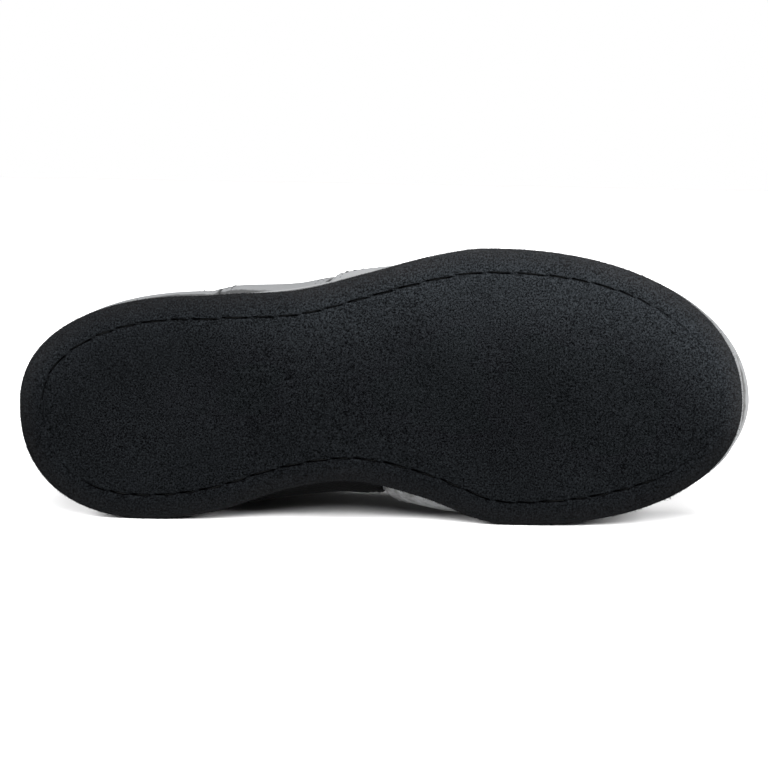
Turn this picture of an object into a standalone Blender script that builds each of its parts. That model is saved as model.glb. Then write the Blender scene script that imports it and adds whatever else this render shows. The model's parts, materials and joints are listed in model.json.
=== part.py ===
"""Felt-soled wading boot for the right foot, lying on its inner side.

The boot is worked out upright in its own shoe frame, in millimetres: X runs from the back of the heel to
the toe, Y to the inner (medial) side, Z up from the sole. The empty that carries all pieces then turns
them onto the inner side, where the edge of the sole and the collar touch the ground at Z = 0.
"""

import functools
import math
from collections import namedtuple

import bmesh
import bpy
import numpy as np
from mathutils import Matrix, Vector

MM = 0.001
GAP = 0.3
JOIN_DISTANCE = 0.001
MEDIAL, LATERAL = 1, -1
SIDE_NAMES = {MEDIAL: "medial", LATERAL: "lateral"}

# Sole
SOLE_LENGTH = 312.0
FELT_THICK = 12.0
FELT_EDGE_ROUND = 2.0
MIDSOLE_THICK = 7.0
MIDSOLE_PROUD_FADE = 20.0
TOE_SPRING = 15.0
TOE_SPRING_START = 222.0
TOE_SPRING_LIMIT = 1.1
ARCH_LIFT = 2.0
ARCH_BACK, ARCH_MIDDLE, ARCH_FRONT = 88.0, 143.0, 184.0
HEEL_LIFT = 1.5
HEEL_LIFT_LENGTH = 18.0
HEEL_ROUND, TOE_ROUND = 2.25, 2.15
SOLE_POINTS, INSOLE_POINTS = 86, 56
SPINE_BACK, SPINE_FRONT = 16.0, 296.0

# Upper
WALL = 2.2
FEATHER = FELT_THICK + MIDSOLE_THICK + GAP
FEATHER_INSET = 4.0
TOE_INSET = 2.5
SWELL = 16.0
TOE_TIP = 316.0
TOE_LEVEL = 14.0
COLLAR_LEVEL = 160.0
COLLAR_DIP = 16.0
COLLAR_DIP_START = 95.0
BEND_FADE = 90.0
SHAFT_START, SHAFT_FULL = 25.0, 80.0
SHAFT_FRONT, SHAFT_FADE = 115.0, 200.0
SHAFT_GROWTH = 18.0
THROAT_LEVEL = 47.0
THROAT_ROUND = 9.0
THROAT_HALF_FOOT, THROAT_HALF_TOP = 12.0, 19.0
EYESTAY_WIDTH = 23.0
STAY_COLUMNS, SIDE_COLUMNS = 4, 17
RIDGE_SAMPLES, SKIN_SAMPLES = 400, 161
NORMAL_STEP = 1.0

# Overlays, tongue and footbed
OVERLAY_FOOT = 2.0
OVERLAY_GAP = 0.4
TOE_CAP_THICK, COUNTER_THICK, STRAP_THICK, EYESTAY_THICK = 2.4, 0.9, 1.6, 1.6
CAP_COLUMNS, COUNTER_COLUMNS, COLUMNS_BEHIND_STRAP = 15, 10, 2
EYESTAY_FOOT = 42.0
BORDER_STEPS = 12
CUTTER_REACH = 100.0
COLLAR_FOOT = 119.0
COLLAR_PAD = 5.0
COLLAR_EDGE_SHARE = 0.3
TONGUE_FOOT, TONGUE_TOP = 43.0, 180.0
TONGUE_THICK = 5.0
TONGUE_HALF_FOOT, TONGUE_HALF_TOP = 21.0, 34.0
TONGUE_CORNER, TONGUE_CORNER_CUT = 150.0, 0.6
TONGUE_LEVELS, TONGUE_COLUMNS = 13, 6
INSOLE_THICK = 4.0
INSOLE_PLAY, INSOLE_HEEL_PLAY, INSOLE_TOE_PLAY = 1.2, 0.8, 1.0

# Eyelets and lace
EYELET_PAIRS = 6
EYELET_INSET = 10.0
EYELET_RADIUS, EYELET_WIRE, EYELET_LIFT = 3.9, 0.9, 1.1
EYELET_SEGMENTS, EYELET_WIRE_SEGMENTS = 8, 4
LACE_RADIUS = 1.7
LACE_STEPS = 6
LACE_CLIMB_START, LACE_CLIMB = 4.0, 6.0

Edge = namedtuple("Edge", "station half_width")
FELT_EDGE = {
    MEDIAL: (
        Edge(57, 49.0), Edge(84, 45.9), Edge(115, 36.5), Edge(143, 33.3),
        Edge(172, 39.8), Edge(200, 50.3), Edge(217, 51.8),
    ),
    LATERAL: (
        Edge(76, 46.3), Edge(90, 47.2), Edge(120, 49.0),
        Edge(150, 56.3), Edge(178, 63.7), Edge(200, 66.8),
    ),
}
LAST_EDGE = {
    MEDIAL: (
        Edge(50, 45.0), Edge(84, 43.0), Edge(115, 39.2), Edge(138, 37.5), Edge(152, 38.7),
        Edge(172, 44.0), Edge(188, 47.1), Edge(225, 48.0),
    ),
    LATERAL: (
        Edge(80, 47.1), Edge(87, 48.7), Edge(93, 49.1), Edge(120, 50.2), Edge(136, 53.8),
        Edge(150, 56.3), Edge(178, 59.2), Edge(205, 62.0),
    ),
}

Ridge = namedtuple("Ridge", "station level")
RIDGE = (
    Ridge(316, 14), Ridge(312, 23.5), Ridge(301, 30.5), Ridge(284, 36), Ridge(262, 41.5),
    Ridge(240, 48), Ridge(220, 56.5), Ridge(200, 68.5), Ridge(182, 83.5), Ridge(167, 101),
    Ridge(156, 121), Ridge(148, 142), Ridge(142.5, 162), Ridge(137, 184),
)

Back = namedtuple("Back", "level station")
BACK = (Back(0, 2.5), Back(22, 1), Back(45, 3), Back(75, 8.5), Back(105, 12), Back(130, 11), Back(162, 5))

Shaft = namedtuple("Shaft", "level half_width")
SHAFT = (Shaft(25, 46), Shaft(60, 42), Shaft(90, 37.8), Shaft(115, 37.6), Shaft(140, 38.7), Shaft(165, 40.5))

Arch = namedtuple("Arch", "station power")
ARCH = (Arch(120, 1.8), Arch(200, 1.9), Arch(250, 2.2), Arch(300, 2.5))

SIDE_WALL_LEVELS = (0.0, OVERLAY_FOOT, 6.0, 10.5)
VAMP_START = 15.0
VAMP_LEVELS, THROAT_LEVELS = 8, 12

Border = namedtuple("Border", "level station")
TOE_CAP_BACK = (Border(-9, 131), Border(10, 134), Border(18, 145), Border(24, 205), Border(30, 244),
                Border(42, 268))
INNER_WING_BACK = (Border(-9, 158), Border(15, 160), Border(21, 178), Border(24, 205))
COUNTER_FRONT = (Border(-9, 83), Border(20, 85.4), Border(32, 84), Border(62, 40), Border(68, -20))
STRAP_BACK = (Border(-9, 84), Border(40, 92), Border(80, 112), Border(112, 140))
STRAP_FRONT = {
    MEDIAL: (Border(-9, 156), Border(20, 157), Border(45, 164), Border(112, 220)),
    LATERAL: (Border(-9, 130), Border(12, 133.2), Border(45, 158), Border(112, 220)),
}

Proud = namedtuple("Proud", "station amount")
MIDSOLE_PROUD = {
    MEDIAL: (Proud(40, -0.5), Proud(100, -0.5), Proud(190, -0.5), Proud(255, -0.3), Proud(292, 0.9)),
    LATERAL: (Proud(40, -0.5), Proud(75, 0.2), Proud(120, 0.9), Proud(165, 0.3), Proud(205, -0.5),
              Proud(255, -0.3), Proud(292, 0.9)),
}

Wall = namedtuple("Wall", "grow share")
FELT_WALL = (Wall(-FELT_EDGE_ROUND, 0.0), Wall(0.0, FELT_EDGE_ROUND / FELT_THICK), Wall(0.0, 1.0))
MIDSOLE_WALL = (Wall(0.0, 0.0), Wall(0.0, 0.42), Wall(-0.9, 0.5), Wall(0.0, 0.58), Wall(0.0, 0.88),
                Wall(-0.7, 1.0))
INSOLE_WALL = (Wall(-0.3, 0.0), Wall(0.0, 0.7), Wall(-0.8, 1.0))

# Lying on the inner side
SETTLE_ROUNDS = 8

Finish = namedtuple("Finish", "colour roughness metallic")
FELT = Finish((0.012, 0.013, 0.015), 0.95, 0.0)
FOAM = Finish((0.42, 0.43, 0.44), 0.7, 0.0)
GREY_SYNTHETIC = Finish((0.20, 0.21, 0.22), 0.6, 0.0)
GREY_RUBBER = Finish((0.38, 0.39, 0.40), 0.6, 0.0)
DARK_SYNTHETIC = Finish((0.035, 0.037, 0.04), 0.6, 0.0)
PADDED_CLOTH = Finish((0.03, 0.031, 0.034), 0.9, 0.0)
CORD = Finish((0.02, 0.02, 0.022), 0.8, 0.0)
GUNMETAL = Finish((0.16, 0.16, 0.17), 0.35, 1.0)
STRAP_FINISH = {MEDIAL: DARK_SYNTHETIC, LATERAL: GREY_SYNTHETIC}


def ease(share):
    """Smooth step from 0 to 1."""
    share = np.clip(share, 0.0, 1.0)
    return share * share * (3.0 - 2.0 * share)


def mix(first, second, share):
    return first + (second - first) * share


def through(rows, place):
    """Smooth curve through rows of (place, value), level at both ends and flat beyond them."""
    places = np.array([row[0] for row in rows], float)
    values = np.array([row[1] for row in rows], float)
    slopes = np.zeros(len(rows))
    slopes[1:-1] = (values[2:] - values[:-2]) / (places[2:] - places[:-2])
    place = np.clip(place, places[0], places[-1])
    row = np.clip(np.searchsorted(places, place, side="right") - 1, 0, len(rows) - 2)
    span = places[row + 1] - places[row]
    share = (place - places[row]) / span
    lead = share * (1.0 - share) ** 2 * span * slopes[row]
    trail = share ** 2 * (1.0 - share) * span * slopes[row + 1]
    return mix(values[row], values[row + 1], ease(share)) + lead - trail


def rounded_end(share, power):
    """Width that falls from 1 at share 0 to nothing at share 1, like the end of an ellipse."""
    return (1.0 - np.clip(share, 0.0, 1.0) ** power) ** (1.0 / power)


def plan_half_width(rows, station, back, front, inset=0.0):
    """Half-width of an outline at a station, rounded off to nothing at its back and front."""
    heel_start, toe_start = rows[0].station, rows[-1].station
    heel = rounded_end((heel_start - station) / (heel_start - back), HEEL_ROUND)
    toe = rounded_end((station - toe_start) / (front - toe_start), TOE_ROUND)
    return (through(rows, station) - inset) * heel * toe


def sole_lift(station):
    """Height of the underside over the ground: heel bevel, low arch and toe spring."""
    heel = np.clip(1.0 - station / HEEL_LIFT_LENGTH, 0.0, 1.0)
    arch = np.clip((station - ARCH_BACK) / (ARCH_FRONT - ARCH_BACK), 0.0, 1.0)
    toe = np.clip((station - TOE_SPRING_START) / (SOLE_LENGTH - TOE_SPRING_START), 0.0, TOE_SPRING_LIMIT)
    return HEEL_LIFT * heel ** 2 + ARCH_LIFT * np.sin(math.pi * arch) ** 2 + TOE_SPRING * toe ** 2


def ridge_curve():
    """Stations, levels and lengths along the top line of the upper, from toe to tongue."""
    rows = np.array(RIDGE, float)
    steps = np.hypot(*np.diff(rows, axis=0).T)
    along = np.concatenate(([0.0], np.cumsum(steps)))
    tangents = np.gradient(rows, along, axis=0)
    tangents[0] = (0.0, 1.0)
    places = np.linspace(0.0, along[-1], RIDGE_SAMPLES)
    row = np.clip(np.searchsorted(along, places, side="right") - 1, 0, len(rows) - 2)
    span = (along[row + 1] - along[row])[:, None]
    share = ((places - along[row])[:, None]) / span
    curve = mix(rows[row], rows[row + 1], ease(share))
    curve += share * (1.0 - share) ** 2 * span * tangents[row]
    curve -= share ** 2 * (1.0 - share) * span * tangents[row + 1]
    lengths = np.concatenate(([0.0], np.cumsum(np.hypot(*np.diff(curve, axis=0).T))))
    return curve[:, 0], curve[:, 1], lengths


RIDGE_STATIONS, RIDGE_LEVELS, RIDGE_LENGTHS = ridge_curve()


def ridge_level(station):
    """Height of the ridge over the feather line; behind the tongue's top it runs away upwards."""
    level = np.interp(station, RIDGE_STATIONS[::-1], RIDGE_LEVELS[::-1])
    return level * np.exp(np.clip(RIDGE_STATIONS[-1] - station, 0.0, None) / SHAFT_GROWTH)


def evenly_up_the_ridge(low, high, count):
    """Levels that part the ridge between two levels into equal lengths."""
    ends = np.interp((low, high), RIDGE_LEVELS, RIDGE_LENGTHS)
    return np.interp(np.linspace(*ends, count), RIDGE_LENGTHS, RIDGE_LEVELS)


def swell(level, height):
    return np.sin(np.clip(level / height, 0.0, 1.0) * math.pi / 2)


def back_station(level):
    return float(through(BACK, level))


def toe_station(level):
    return float(mix(SOLE_LENGTH - TOE_INSET, TOE_TIP, swell(level, TOE_LEVEL)))


def front_station(level):
    if level <= TOE_LEVEL:
        return toe_station(level)
    return float(np.interp(level, RIDGE_LEVELS, RIDGE_STATIONS))


def upper_half_width(side, station, level):
    """Half-width of the upper: feather line, last, shaft, each rounded over to the ridge."""
    back, front = back_station(level), toe_station(level)
    feather = plan_half_width(FELT_EDGE[side], station, back, front, FEATHER_INSET)
    last = plan_half_width(LAST_EDGE[side], station, back, front)
    foot = mix(feather, last, swell(level, SWELL))
    heel_start = LAST_EDGE[side][0].station
    shaft = through(SHAFT, level) * rounded_end((heel_start - station) / (heel_start - back), HEEL_ROUND)
    rise = ease((level - SHAFT_START) / (SHAFT_FULL - SHAFT_START))
    behind = 1.0 - ease((station - SHAFT_FRONT) / (SHAFT_FADE - SHAFT_FRONT))
    arched = rounded_end(level / ridge_level(station), through(ARCH, station))
    return mix(foot, shaft, rise * behind) * arched


def stand(station, across, level, back, front):
    """Shoe-frame point of a flattened upper point: bent to the sole, and low at the back of the collar."""
    rear = np.clip((front - station) / (front - back), 0.0, 1.0)
    dip = COLLAR_DIP * ease((level - COLLAR_DIP_START) / (COLLAR_LEVEL - COLLAR_DIP_START)) * rear
    bend = sole_lift(station) * (1.0 - ease(level / BEND_FADE))
    return np.stack((station, across, FEATHER + level - dip + bend), axis=-1)


@functools.lru_cache(maxsize=None)
def skin_slice(side, level):
    """One side of the upper at a level, from the ridge to the heel: points, lengths and half-widths."""
    back, front = back_station(level), front_station(level)
    turn = np.linspace(0.0, math.pi, SKIN_SAMPLES)
    station = mix(back, front, (1.0 + np.cos(turn)) / 2)
    half = upper_half_width(side, station, level)
    half[0] = half[-1] = 0.0
    points = stand(station, side * half, level, back, front)
    steps = np.linalg.norm(np.diff(points, axis=0), axis=1)
    return points, np.concatenate(([0.0], np.cumsum(steps))), half


def skin(side, level, along):
    """Point of the upper's outer face at a distance along its slice from the ridge."""
    points, lengths, _ = skin_slice(side, float(level))
    return np.array([np.interp(along, lengths, points[:, axis]) for axis in range(3)])


def slice_length(side, level):
    return float(skin_slice(side, float(level))[1][-1])


def throat_half_gap(level):
    rise = (level - THROAT_LEVEL) / (COLLAR_LEVEL - THROAT_LEVEL)
    start = np.clip((level - THROAT_LEVEL) / THROAT_ROUND, 0.0, 1.0)
    return mix(THROAT_HALF_FOOT, THROAT_HALF_TOP, rise) * math.sqrt(start)


def throat_edge(side, level):
    """Distance from the ridge to the edge of the throat, zero below the throat."""
    if level <= THROAT_LEVEL:
        return 0.0
    _, lengths, half = skin_slice(side, float(level))
    widest = int(np.argmax(half))
    return float(np.interp(throat_half_gap(level), half[:widest], lengths[:widest]))


def outward(side, level, along):
    """Unit vector out of the upper, level at the feather line so that overlays stay on the sole."""
    start = max(along - NORMAL_STEP, 0.0)
    end = min(along + NORMAL_STEP, slice_length(side, level))
    low = max(level - NORMAL_STEP, 0.0)
    run = skin(side, level, end) - skin(side, level, start)
    rise = skin(side, level + NORMAL_STEP, along) - skin(side, low, along)
    if along < NORMAL_STEP:
        run[0] = run[2] = 0.0
    normal = side * np.cross(run, rise)
    normal[2] *= ease(level / SWELL)
    return normal / np.linalg.norm(normal)


def over_skin(side, level, along, height):
    return skin(side, level, along) + height * outward(side, level, along)


def levels_between(low, high):
    """Levels of the upper's sections that lie between two levels."""
    vamp = evenly_up_the_ridge(VAMP_START, THROAT_LEVEL, VAMP_LEVELS)
    throat = evenly_up_the_ridge(THROAT_LEVEL, COLLAR_LEVEL, THROAT_LEVELS)
    levels = (*SIDE_WALL_LEVELS, *vamp, *throat[1:])
    return [float(level) for level in levels if low <= level <= high + GAP]


def spread(start, end, count):
    """Lengths from start to end, closer together at both ends."""
    even = np.linspace(0.0, 1.0, count)
    return mix(start, end, (even + (1.0 - np.cos(math.pi * even)) / 2) / 2)


def column_lengths(side, level):
    """Places of the upper's columns along a section: across the eyestay, then on to the heel."""
    edge = throat_edge(side, level)
    stay = np.linspace(edge, edge + EYESTAY_WIDTH, STAY_COLUMNS)
    return np.concatenate((stay, spread(stay[-1], slice_length(side, level), SIDE_COLUMNS)[1:]))


def round_the_heel(level, lengths, height):
    """Row of points from the inner front edge, round the heel, to the outer front edge."""
    inner = [over_skin(MEDIAL, level, along, height) for along in lengths(MEDIAL, level)]
    outer = [over_skin(LATERAL, level, along, height) for along in lengths(LATERAL, level)]
    return inner + outer[-2::-1]


def over_the_ridge(level, lengths, height):
    """Row of points across the ridge, from the outer side to the inner side."""
    inner = [over_skin(MEDIAL, level, along, height) for along in lengths(MEDIAL, level)]
    outer = [over_skin(LATERAL, level, along, height) for along in lengths(LATERAL, level)]
    return outer[::-1] + inner[1:]


def along_one_side(side, level, lengths, height):
    """Row of points on one side, in the order in which rows run round the heel."""
    points = [over_skin(side, level, along, height) for along in lengths]
    return points if side == MEDIAL else points[::-1]


def clear_scene():
    for found in list(bpy.data.objects):
        bpy.data.objects.remove(found, do_unlink=True)


def new_collection(name):
    collection = bpy.data.collections.new(name)
    bpy.context.scene.collection.children.link(collection)
    return collection


clear_scene()
BOOT = new_collection("wading_boot")
HELPERS = new_collection("wading_boot_cutters")
carrier = bpy.data.objects.new("boot_on_its_side", None)
BOOT.objects.link(carrier)


def material(name, finish):
    made = bpy.data.materials.new(name)
    made.use_nodes = True
    shader = made.node_tree.nodes["Principled BSDF"]
    shader.inputs["Base Color"].default_value = (*finish.colour, 1.0)
    shader.inputs["Roughness"].default_value = finish.roughness
    shader.inputs["Metallic"].default_value = finish.metallic
    made.diffuse_color = (*finish.colour, 1.0)
    return made


def add_piece(name, mesh, finish):
    """Named object of the boot with its own material, carried by the empty."""
    piece = bpy.data.objects.new(name, mesh)
    mesh.materials.append(material(name, finish))
    mesh.shade_smooth()
    BOOT.objects.link(piece)
    piece.parent = carrier
    return piece


def hidden_helper(name, mesh):
    """Object that shapes a piece and is no piece itself."""
    helper = bpy.data.objects.new(name, mesh)
    helper.parent = carrier
    helper.hide_render = True
    helper.display_type = "WIRE"
    HELPERS.objects.link(helper)
    return helper


def join_points(shape):
    bmesh.ops.remove_doubles(shape, verts=shape.verts, dist=JOIN_DISTANCE * MM)


def loft(name, *patches, closed=False):
    """Mesh of patches between rows of points, each quad split the same way, joined where they meet."""
    shape = bmesh.new()
    for rows in patches:
        grid = [[shape.verts.new(Vector(point) * MM) for point in row] for row in rows]
        columns = len(grid[0])
        for low, high in zip(grid, grid[1:]):
            for column in range(columns if closed else columns - 1):
                after = (column + 1) % columns
                shape.faces.new((low[column], low[after], high[after]))
                shape.faces.new((low[column], high[after], high[column]))
    join_points(shape)
    mesh = bpy.data.meshes.new(name)
    shape.to_mesh(mesh)
    shape.free()
    return mesh


def add_shell(name, mesh, thick, finish):
    """Open surface made solid; it grows outwards, or inwards where thick is negative."""
    piece = add_piece(name, mesh, finish)
    solid = piece.modifiers.new("wall", "SOLIDIFY")
    solid.thickness = abs(thick) * MM
    solid.offset = math.copysign(1.0, thick)
    return piece


def combine(piece, helper, operation):
    boolean = piece.modifiers.new(helper.name, "BOOLEAN")
    boolean.operation = operation
    boolean.solver = "EXACT"
    boolean.object = helper


def sole_ring(half_width, back, front, points, share, grow, level):
    """Closed ring round a layer of the sole: its edge at share 1, its spine at share 0."""
    ring = []
    for step in range(points):
        turn = math.tau * step / points
        side = LATERAL if math.sin(turn) >= 0 else MEDIAL
        station = mix(back, front, (1.0 - math.cos(turn)) / 2)
        spine = min(max(station, SPINE_BACK), SPINE_FRONT)
        away = Vector((station - spine, side * float(half_width(side, station))))
        if away.length > 0:
            away *= share * (1.0 + grow / away.length)
        ring.append((spine + away.x, away.y, level + sole_lift(spine + away.x)))
    return ring


def add_sole_layer(name, half_width, back, front, points, bottom, thick, wall, finish):
    """Layer that follows the lift of the sole, with the wall's steps round its edge."""
    ring = functools.partial(sole_ring, half_width, back, front, points)
    rows = [ring(0.0, 0.0, bottom)]
    rows += [ring(1.0, step.grow, bottom + step.share * thick) for step in wall]
    rows += [ring(0.0, 0.0, bottom + thick)]
    return add_piece(name, loft(name, rows, closed=True), finish)


def add_felt_outsole():
    def half_width(side, station):
        return plan_half_width(FELT_EDGE[side], station, 0.0, SOLE_LENGTH)

    return add_sole_layer("felt_outsole", half_width, 0.0, SOLE_LENGTH, SOLE_POINTS, 0.0, FELT_THICK,
                          FELT_WALL, FELT)


def add_midsole():
    heel_end = -MIDSOLE_PROUD[LATERAL][0].amount
    toe_end = SOLE_LENGTH + MIDSOLE_PROUD[LATERAL][-1].amount

    def half_width(side, station):
        plain = plan_half_width(FELT_EDGE[side], station, heel_end, toe_end)
        return plain + through(MIDSOLE_PROUD[side], station) * min(1.0, plain / MIDSOLE_PROUD_FADE)

    bottom = FELT_THICK + GAP
    return add_sole_layer("midsole", half_width, heel_end, toe_end, SOLE_POINTS, bottom,
                          MIDSOLE_THICK - GAP, MIDSOLE_WALL, FOAM)


def add_insole():
    inset = FEATHER_INSET + WALL + INSOLE_PLAY
    heel_end = inset + INSOLE_HEEL_PLAY
    toe_end = SOLE_LENGTH - inset - INSOLE_TOE_PLAY

    def half_width(side, station):
        return plan_half_width(FELT_EDGE[side], station, heel_end, toe_end, inset)

    return add_sole_layer("insole", half_width, heel_end, toe_end, INSOLE_POINTS, FEATHER, INSOLE_THICK,
                          INSOLE_WALL, PADDED_CLOTH)


def add_upper():
    rows = [round_the_heel(level, column_lengths, 0.0) for level in levels_between(0.0, COLLAR_LEVEL)]
    return add_shell("upper", loft("upper", rows), -WALL, GREY_SYNTHETIC)


def border_points(rows):
    """Side-view line of an overlay's border, in the shoe frame, from its lowest level up."""
    levels = np.linspace(rows[0].level, rows[-1].level, BORDER_STEPS)
    stations = through(rows, levels)
    bend = sole_lift(stations) * (1.0 - ease(levels / BEND_FADE))
    return list(zip(stations, FEATHER + levels + bend))


def add_cutter(name, outline, start, end):
    """Prism of a side-view outline, from one place across the boot to another."""
    shape = bmesh.new()
    corners = [shape.verts.new(Vector((station, start, height)) * MM) for station, height in outline]
    face = shape.faces.new(corners)
    swept = bmesh.ops.extrude_face_region(shape, geom=[face])["geom"]
    moved = [part for part in swept if isinstance(part, bmesh.types.BMVert)]
    bmesh.ops.translate(shape, verts=moved, vec=(0.0, (end - start) * MM, 0.0))
    bmesh.ops.recalc_face_normals(shape, faces=shape.faces)
    mesh = bpy.data.meshes.new(name)
    shape.to_mesh(mesh)
    shape.free()
    return hidden_helper(name, mesh)


def add_toe_cap():
    """Cap with a low wing along each side, the inner one shorter, cut from a skin over the upper's front."""

    def lengths(side, level):
        return column_lengths(side, level)[:CAP_COLUMNS]

    levels = levels_between(OVERLAY_FOOT, THROAT_LEVEL - 2 * GAP)
    rows = [over_the_ridge(level, lengths, OVERLAY_GAP) for level in levels]
    cap = add_shell("toe_cap", loft("toe_cap", rows), TOE_CAP_THICK, GREY_RUBBER)
    border = border_points(TOE_CAP_BACK)
    ahead = TOE_TIP + CUTTER_REACH
    outline = [*border, (ahead, border[-1][1]), (ahead, border[0][1])]
    combine(cap, add_cutter("toe_cap_outline", outline, -CUTTER_REACH, CUTTER_REACH), "INTERSECT")
    inner = border_points(INNER_WING_BACK)
    behind = TOE_CAP_BACK[0].station - CUTTER_REACH
    outline = [*inner, (behind, inner[-1][1]), (behind, inner[0][1])]
    combine(cap, add_cutter("toe_cap_inner_cut", outline, 0.0, CUTTER_REACH), "DIFFERENCE")
    return cap


def add_heel_counter():
    """Low guard round the heel, cut from a skin over the back of the upper."""

    def lengths(side, level):
        return column_lengths(side, level)[-COUNTER_COLUMNS:]

    levels = levels_between(OVERLAY_FOOT, COUNTER_FRONT[-1].level + WALL)
    rows = [round_the_heel(level, lengths, OVERLAY_GAP) for level in levels]
    counter = add_shell("heel_counter", loft("heel_counter", rows), COUNTER_THICK, GREY_SYNTHETIC)
    border = border_points(COUNTER_FRONT)
    outline = [*border, (border[-1][0], border[0][1])]
    combine(counter, add_cutter("counter_outline", outline, -CUTTER_REACH, CUTTER_REACH), "INTERSECT")
    return counter


def add_side_strap(side):
    """Strap from the eyestay down to the sole, between the counter and the toe cap's wing."""
    name = f"side_strap_{SIDE_NAMES[side]}"
    rows = []
    for level in levels_between(OVERLAY_FOOT, STRAP_BACK[-1].level):
        lengths = column_lengths(side, level)[STAY_COLUMNS - 1:-COLUMNS_BEHIND_STRAP]
        lengths[0] += 2 * GAP
        rows.append(along_one_side(side, level, lengths, OVERLAY_GAP))
    strap = add_shell(name, loft(name, rows), STRAP_THICK, STRAP_FINISH[side])
    outline = [*border_points(STRAP_BACK), *reversed(border_points(STRAP_FRONT[side]))]
    combine(strap, add_cutter(f"{name}_outline", outline, 0.0, side * CUTTER_REACH), "INTERSECT")
    return strap


def add_eyestay():
    """Band along both sides of the throat, in one piece round the throat's foot."""
    halves = []
    for side in SIDE_NAMES:
        rows = []
        for level in levels_between(EYESTAY_FOOT, COLLAR_LEVEL):
            lengths = column_lengths(side, level)[:STAY_COLUMNS]
            lengths[-1] -= GAP
            rows.append(along_one_side(side, level, lengths, GAP))
        halves.append(rows)
    return add_shell("eyestay", loft("eyestay", *halves), EYESTAY_THICK, DARK_SYNTHETIC)


def add_collar():
    """Padded band round the ankle, thickest half-way up."""

    def lengths(side, level):
        behind_stay = column_lengths(side, level)[STAY_COLUMNS - 1:]
        behind_stay[0] += 2 * GAP
        return behind_stay

    levels = levels_between(COLLAR_FOOT, COLLAR_LEVEL)
    rows = [round_the_heel(level, lengths, GAP) for level in levels]
    collar = add_shell("collar", loft("collar", rows), COLLAR_PAD, PADDED_CLOTH)
    padding = collar.vertex_groups.new(name="padding")
    for number, row in enumerate(rows):
        share = mix(COLLAR_EDGE_SHARE, 1.0, math.sin(math.pi * number / (len(rows) - 1)))
        start = number * len(row)
        padding.add(range(start, start + len(row)), share, "REPLACE")
    collar.modifiers["wall"].vertex_group = padding.name
    return collar


def add_tongue():
    def lengths(side, level):
        rise = (level - TONGUE_FOOT) / (TONGUE_TOP - TONGUE_FOOT)
        corner = np.clip((level - TONGUE_CORNER) / (TONGUE_TOP - TONGUE_CORNER), 0.0, 1.0)
        corner_width = math.sqrt(1.0 - TONGUE_CORNER_CUT * corner ** 2)
        half = mix(TONGUE_HALF_FOOT, TONGUE_HALF_TOP, ease(rise)) * corner_width
        return np.linspace(0.0, half, TONGUE_COLUMNS)

    under = -(WALL + 3 * GAP)
    levels = evenly_up_the_ridge(TONGUE_FOOT, TONGUE_TOP, TONGUE_LEVELS)
    rows = [over_the_ridge(float(level), lengths, under) for level in levels]
    return add_shell("tongue", loft("tongue", rows), -TONGUE_THICK, PADDED_CLOTH)


def eyelet_levels():
    levels = evenly_up_the_ridge(THROAT_LEVEL, COLLAR_LEVEL, 2 * EYELET_PAIRS + 1)
    return [float(level) for level in levels[1::2]]


def eyelet_length(side, level):
    return throat_edge(side, level) + EYELET_INSET


def add_eyelet(side, number, level):
    bpy.ops.mesh.primitive_torus_add(
        major_radius=EYELET_RADIUS * MM, minor_radius=EYELET_WIRE * MM,
        major_segments=EYELET_SEGMENTS, minor_segments=EYELET_WIRE_SEGMENTS,
    )
    made = bpy.context.object
    mesh = made.data
    bpy.data.objects.remove(made, do_unlink=True)
    ring = add_piece(f"eyelet_{SIDE_NAMES[side]}_{number}", mesh, GUNMETAL)
    along = eyelet_length(side, level)
    height = EYELET_LIFT + EYESTAY_THICK + EYELET_WIRE
    ring.location = Vector(over_skin(side, level, along, height)) * MM
    ring.rotation_euler = Vector(outward(side, level, along)).to_track_quat("Z", "X").to_euler()
    return ring


def lace_point(first, second, share):
    """Point on the lace between two eyelets, lifted over the eyelets and lower over the tongue."""
    side_a, level_a = first
    side_b, level_b = second
    level = mix(level_a, level_b, share)
    start = side_a * eyelet_length(side_a, level_a)
    end = side_b * eyelet_length(side_b, level_b)
    across = mix(start, end, share)
    side = MEDIAL if across >= 0 else LATERAL
    over_eyelet = 6 * GAP + EYESTAY_THICK + 2 * EYELET_WIRE + LACE_RADIUS
    over_tongue = LACE_RADIUS + GAP
    past_edge = abs(across) - throat_edge(side, level)
    lift = mix(over_tongue, over_eyelet, ease((past_edge + LACE_CLIMB_START) / LACE_CLIMB))
    return over_skin(side, level, abs(across), lift)


def lace_run(stops):
    """Points of a lace that passes over the given eyelets in turn."""
    points = []
    for first, second in zip(stops, stops[1:]):
        points += [lace_point(first, second, step / LACE_STEPS) for step in range(LACE_STEPS)]
    return points + [lace_point(stops[-2], stops[-1], 1.0)]


def cord_mesh(name, points):
    """Closed mesh of a round cord along points."""
    curve = bpy.data.curves.new(name, "CURVE")
    curve.dimensions = "3D"
    curve.bevel_depth = LACE_RADIUS * MM
    curve.bevel_resolution = 1
    curve.use_fill_caps = True
    spline = curve.splines.new("POLY")
    spline.points.add(len(points) - 1)
    for made, point in zip(spline.points, points):
        made.co = (*(Vector(point) * MM), 1.0)
    guide = bpy.data.objects.new(name, curve)
    bpy.context.scene.collection.objects.link(guide)
    evaluated = guide.evaluated_get(bpy.context.evaluated_depsgraph_get())
    mesh = bpy.data.meshes.new_from_object(evaluated)
    bpy.data.objects.remove(guide, do_unlink=True)
    shape = bmesh.new()
    shape.from_mesh(mesh)
    join_points(shape)
    shape.to_mesh(mesh)
    shape.free()
    return mesh


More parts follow.
